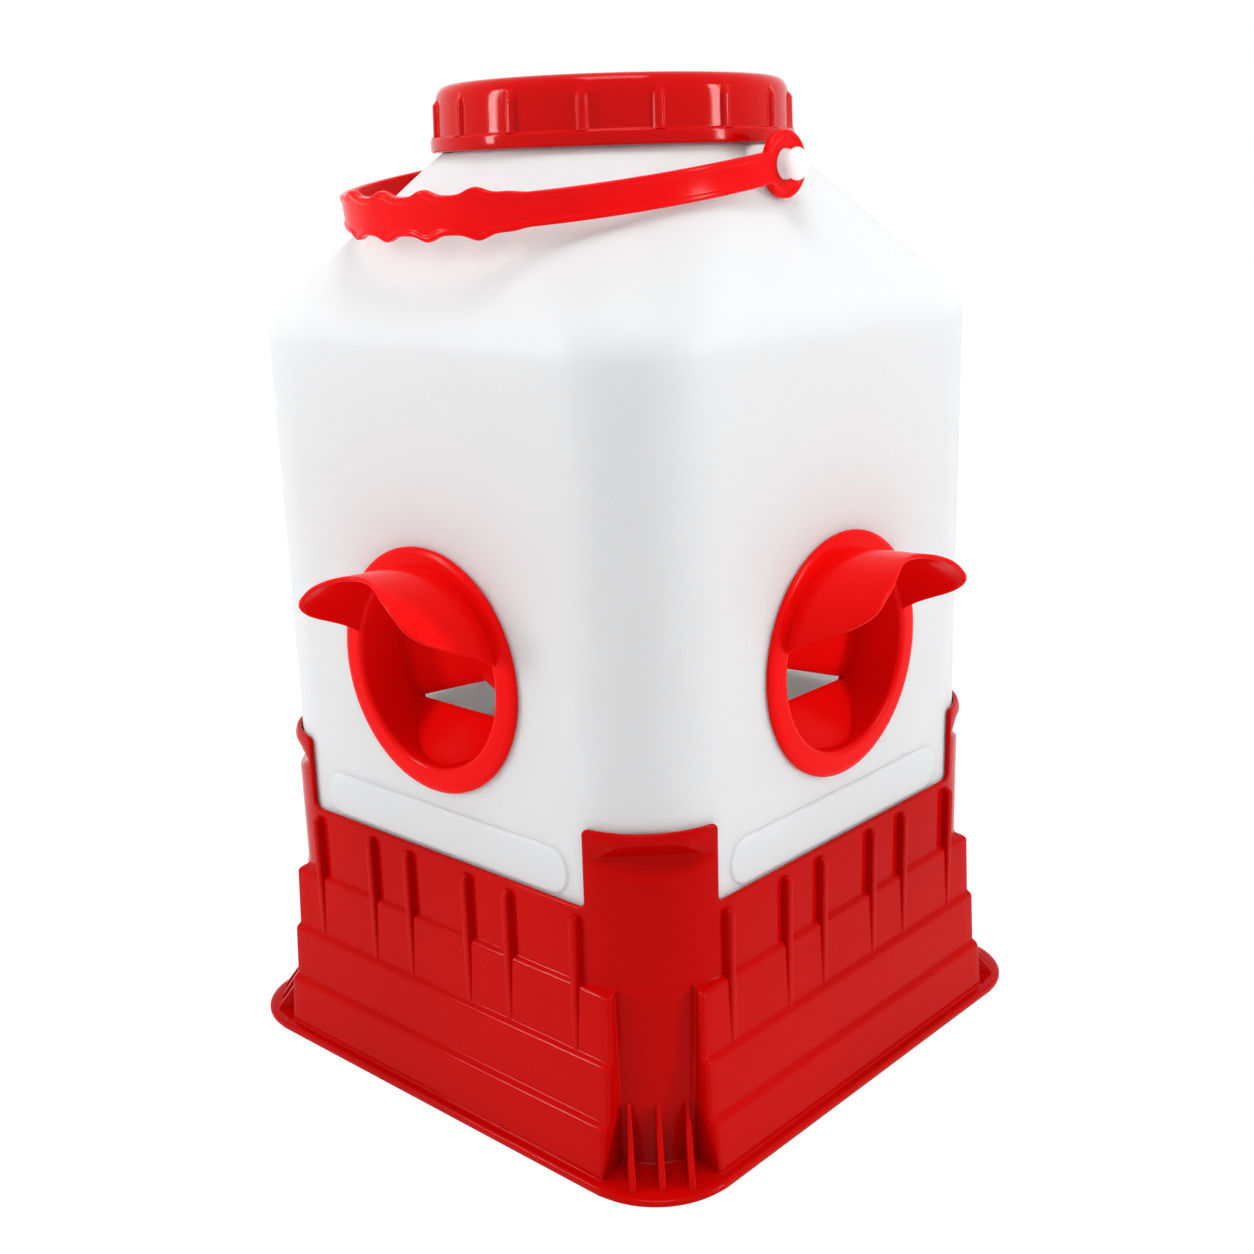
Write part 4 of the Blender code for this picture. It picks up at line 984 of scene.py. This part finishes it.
def handle_strap(moulding):
    """The strap, with a raised rim along both edges of both faces."""
    xs, reaches, along = strap_line(300)
    widths = strap_width(along) / 2
    radii = [0.0012, 0.0012, 0.0008, 0.0006, 0.0006, 0.0008] * 2
    rows = []
    for i in range(len(xs)):
        j, k = max(i - 1, 0), min(i + 1, len(xs) - 1)
        step = np.array([xs[k] - xs[j], reaches[k] - reaches[j]])
        step /= np.linalg.norm(step)
        out = np.array([step[1], -step[0]])
        end = float(smooth(0.0, 0.020, min(along[-1] - along[i], along[i] - along[0])))
        web, rim = STRAP_HALF, STRAP_HALF + STRAP_RIM * end
        w = widths[i]
        corners = [
            (-rim, w), (rim, w), (rim, w - 0.0020), (web, w - 0.0028),
            (web, -w + 0.0028), (rim, -w + 0.0020), (rim, -w), (-rim, -w),
            (-rim, -w + 0.0020), (-web, -w + 0.0028), (-web, w - 0.0028), (-rim, w - 0.0020),
        ]
        section = rounded_profile(corners, radii, 4)
        rows.append([(xs[i] + out[0] * a, -(reaches[i] + out[1] * a), b) for a, b in section])
    moulding.solid(rows)


def make_handle():
    """The bail, drawn level and turned about the lugs' axis down to its rest."""
    moulding = Moulding()
    handle_strap(moulding)
    h = EYE_HALF
    for side in (1, -1):
        points = [
            (BORE_R, -h), (EYE_R, -h), (EYE_R, h), (EYE_R - 0.0022, h),
            (EYE_R - 0.0030, h - 0.0004), (BORE_R, h - 0.0004),
        ]
        section = rounded_profile(points, [0.0004, 0.0010, 0.0010, 0.0005, 0.0005, 0.0004], 5)
        rows = lathe([(r, side * (EYE_X + d)) for r, d in section], 96, "x")
        moulding.skin(rows, around=True, along=True)
    piece = moulding.make("handle_bail", HANDLE_RED)
    piece.data.transform(Matrix.Translation((0, 0, PIVOT_Z)) @ Matrix.Rotation(HANDLE_DROP, 4, "X"))
    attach(piece, "handle")
    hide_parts("handle")


# Floor, light and camera
def background_white(tree, shaded):
    """White where the camera, a reflection or a clear material looks; plain shading for other light."""
    path = tree.nodes.new("ShaderNodeLightPath").outputs
    seen = maths(tree, "MAXIMUM", path["Is Camera Ray"], path["Is Glossy Ray"])
    seen = maths(tree, "MAXIMUM", seen, path["Is Transmission Ray"])
    mix = tree.nodes.new("ShaderNodeMixShader")
    tree.links.new(seen, mix.inputs["Fac"])
    tree.links.new(shaded, mix.inputs[1])
    return mix


def make_floor():
    """A white floor that keeps a faint shadow of the feeder."""
    mat = bpy.data.materials.new("floor_white")
    mat.use_nodes = True
    tree = mat.node_tree
    shader = tree.nodes["Principled BSDF"]
    shader.inputs["Base Color"].default_value = (0.90, 0.90, 0.90, 1.0)
    shader.inputs["Roughness"].default_value = 0.9
    shader.inputs["Specular IOR Level"].default_value = 0.1
    glow = tree.nodes.new("ShaderNodeEmission")
    glow.inputs["Strength"].default_value = 0.95
    faint = tree.nodes.new("ShaderNodeBsdfDiffuse")
    faint.inputs["Color"].default_value = (0.18, 0.18, 0.18, 1.0)
    both = tree.nodes.new("ShaderNodeAddShader")
    tree.links.new(glow.outputs[0], both.inputs[0])
    tree.links.new(faint.outputs[0], both.inputs[1])
    mix = background_white(tree, shader.outputs[0])
    tree.links.new(both.outputs[0], mix.inputs[2])
    tree.links.new(mix.outputs[0], tree.nodes["Material Output"].inputs["Surface"])
    floor = Moulding()
    floor.skin([[(x, y, -0.0004) for x in np.linspace(-6, 6, 5)] for y in np.linspace(-6, 6, 5)])
    piece = floor.make("floor", mat)


def make_world(level):
    """Even light from all round, seen as plain white."""
    world = bpy.data.worlds.new("studio")
    bpy.context.scene.world = world
    world.use_nodes = True
    tree = world.node_tree
    soft = tree.nodes["Background"]
    soft.inputs["Color"].default_value = (0.93, 0.97, 1.0, 1.0)
    soft.inputs["Strength"].default_value = level
    white = tree.nodes.new("ShaderNodeBackground")
    white.inputs["Color"].default_value = (1.0, 1.0, 1.0, 1.0)
    mix = background_white(tree, soft.outputs[0])
    tree.links.new(white.outputs[0], mix.inputs[2])
    tree.links.new(mix.outputs[0], tree.nodes["World Output"].inputs["Surface"])


def softbox(name, place, aim, size, watts):
    """A white rectangular lamp turned towards a point."""
    lamp = bpy.data.lights.new(name, "AREA")
    lamp.shape = "RECTANGLE"
    lamp.size, lamp.size_y = size
    lamp.energy = watts
    obj = bpy.data.objects.new(name, lamp)
    bpy.context.scene.collection.objects.link(obj)
    ahead = np.array(aim, float) - np.array(place, float)
    ahead /= np.linalg.norm(ahead)
    side = np.cross(ahead, (0, 0, 1.0))
    side /= np.linalg.norm(side)
    up = np.cross(side, ahead)
    obj.matrix_world = Matrix((
        (side[0], up[0], -ahead[0], place[0]), (side[1], up[1], -ahead[1], place[1]),
        (side[2], up[2], -ahead[2], place[2]), (0, 0, 0, 1)))


def make_lights():
    """Two tall softboxes at the sides and a square one above."""
    middle = (0.0, 0.0, 0.22)
    softbox("left_box", (-1.05, -1.40, 0.80), middle, (0.20, 0.80), 16.5)
    softbox("right_box", (1.65, 0.60, 0.75), middle, (0.18, 0.80), 15.5)
    softbox("top_box", (0.25, -0.25, 1.90), middle, (0.70, 0.70), 14.0)


def make_camera():
    """The photograph's view, with a slight roll."""
    azimuth, pitch, roll = (math.radians(a) for a in (CAMERA_AZIMUTH, CAMERA_PITCH, CAMERA_ROLL))
    level = math.cos(pitch)
    ahead = np.array([-math.sin(azimuth) * level, math.cos(azimuth) * level, -math.sin(pitch)])
    right = np.array([math.cos(azimuth), math.sin(azimuth), 0.0])
    up = np.cross(right, ahead)
    across = math.cos(roll) * right + math.sin(roll) * up
    upward = -math.sin(roll) * right + math.cos(roll) * up
    lens = bpy.data.cameras.new("camera")
    lens.sensor_width = SENSOR_WIDTH
    lens.sensor_fit = "HORIZONTAL"
    lens.lens = FOCAL_PIXELS / FRAME_PIXELS * SENSOR_WIDTH
    lens.clip_start = 0.01
    camera = bpy.data.objects.new("camera", lens)
    rows = [[across[i], upward[i], -ahead[i], CAMERA_PLACE[i]] for i in range(3)]
    camera.matrix_world = Matrix(rows + [[0, 0, 0, 1]])
    bpy.context.scene.collection.objects.link(camera)
    bpy.context.scene.camera = camera


make_stand()
make_tank()
make_lid()
make_gasket()
make_ports()
make_handle()
make_floor()
make_world(0.66)
make_lights()
make_camera()
bpy.context.scene.view_settings.view_transform = "Standard"
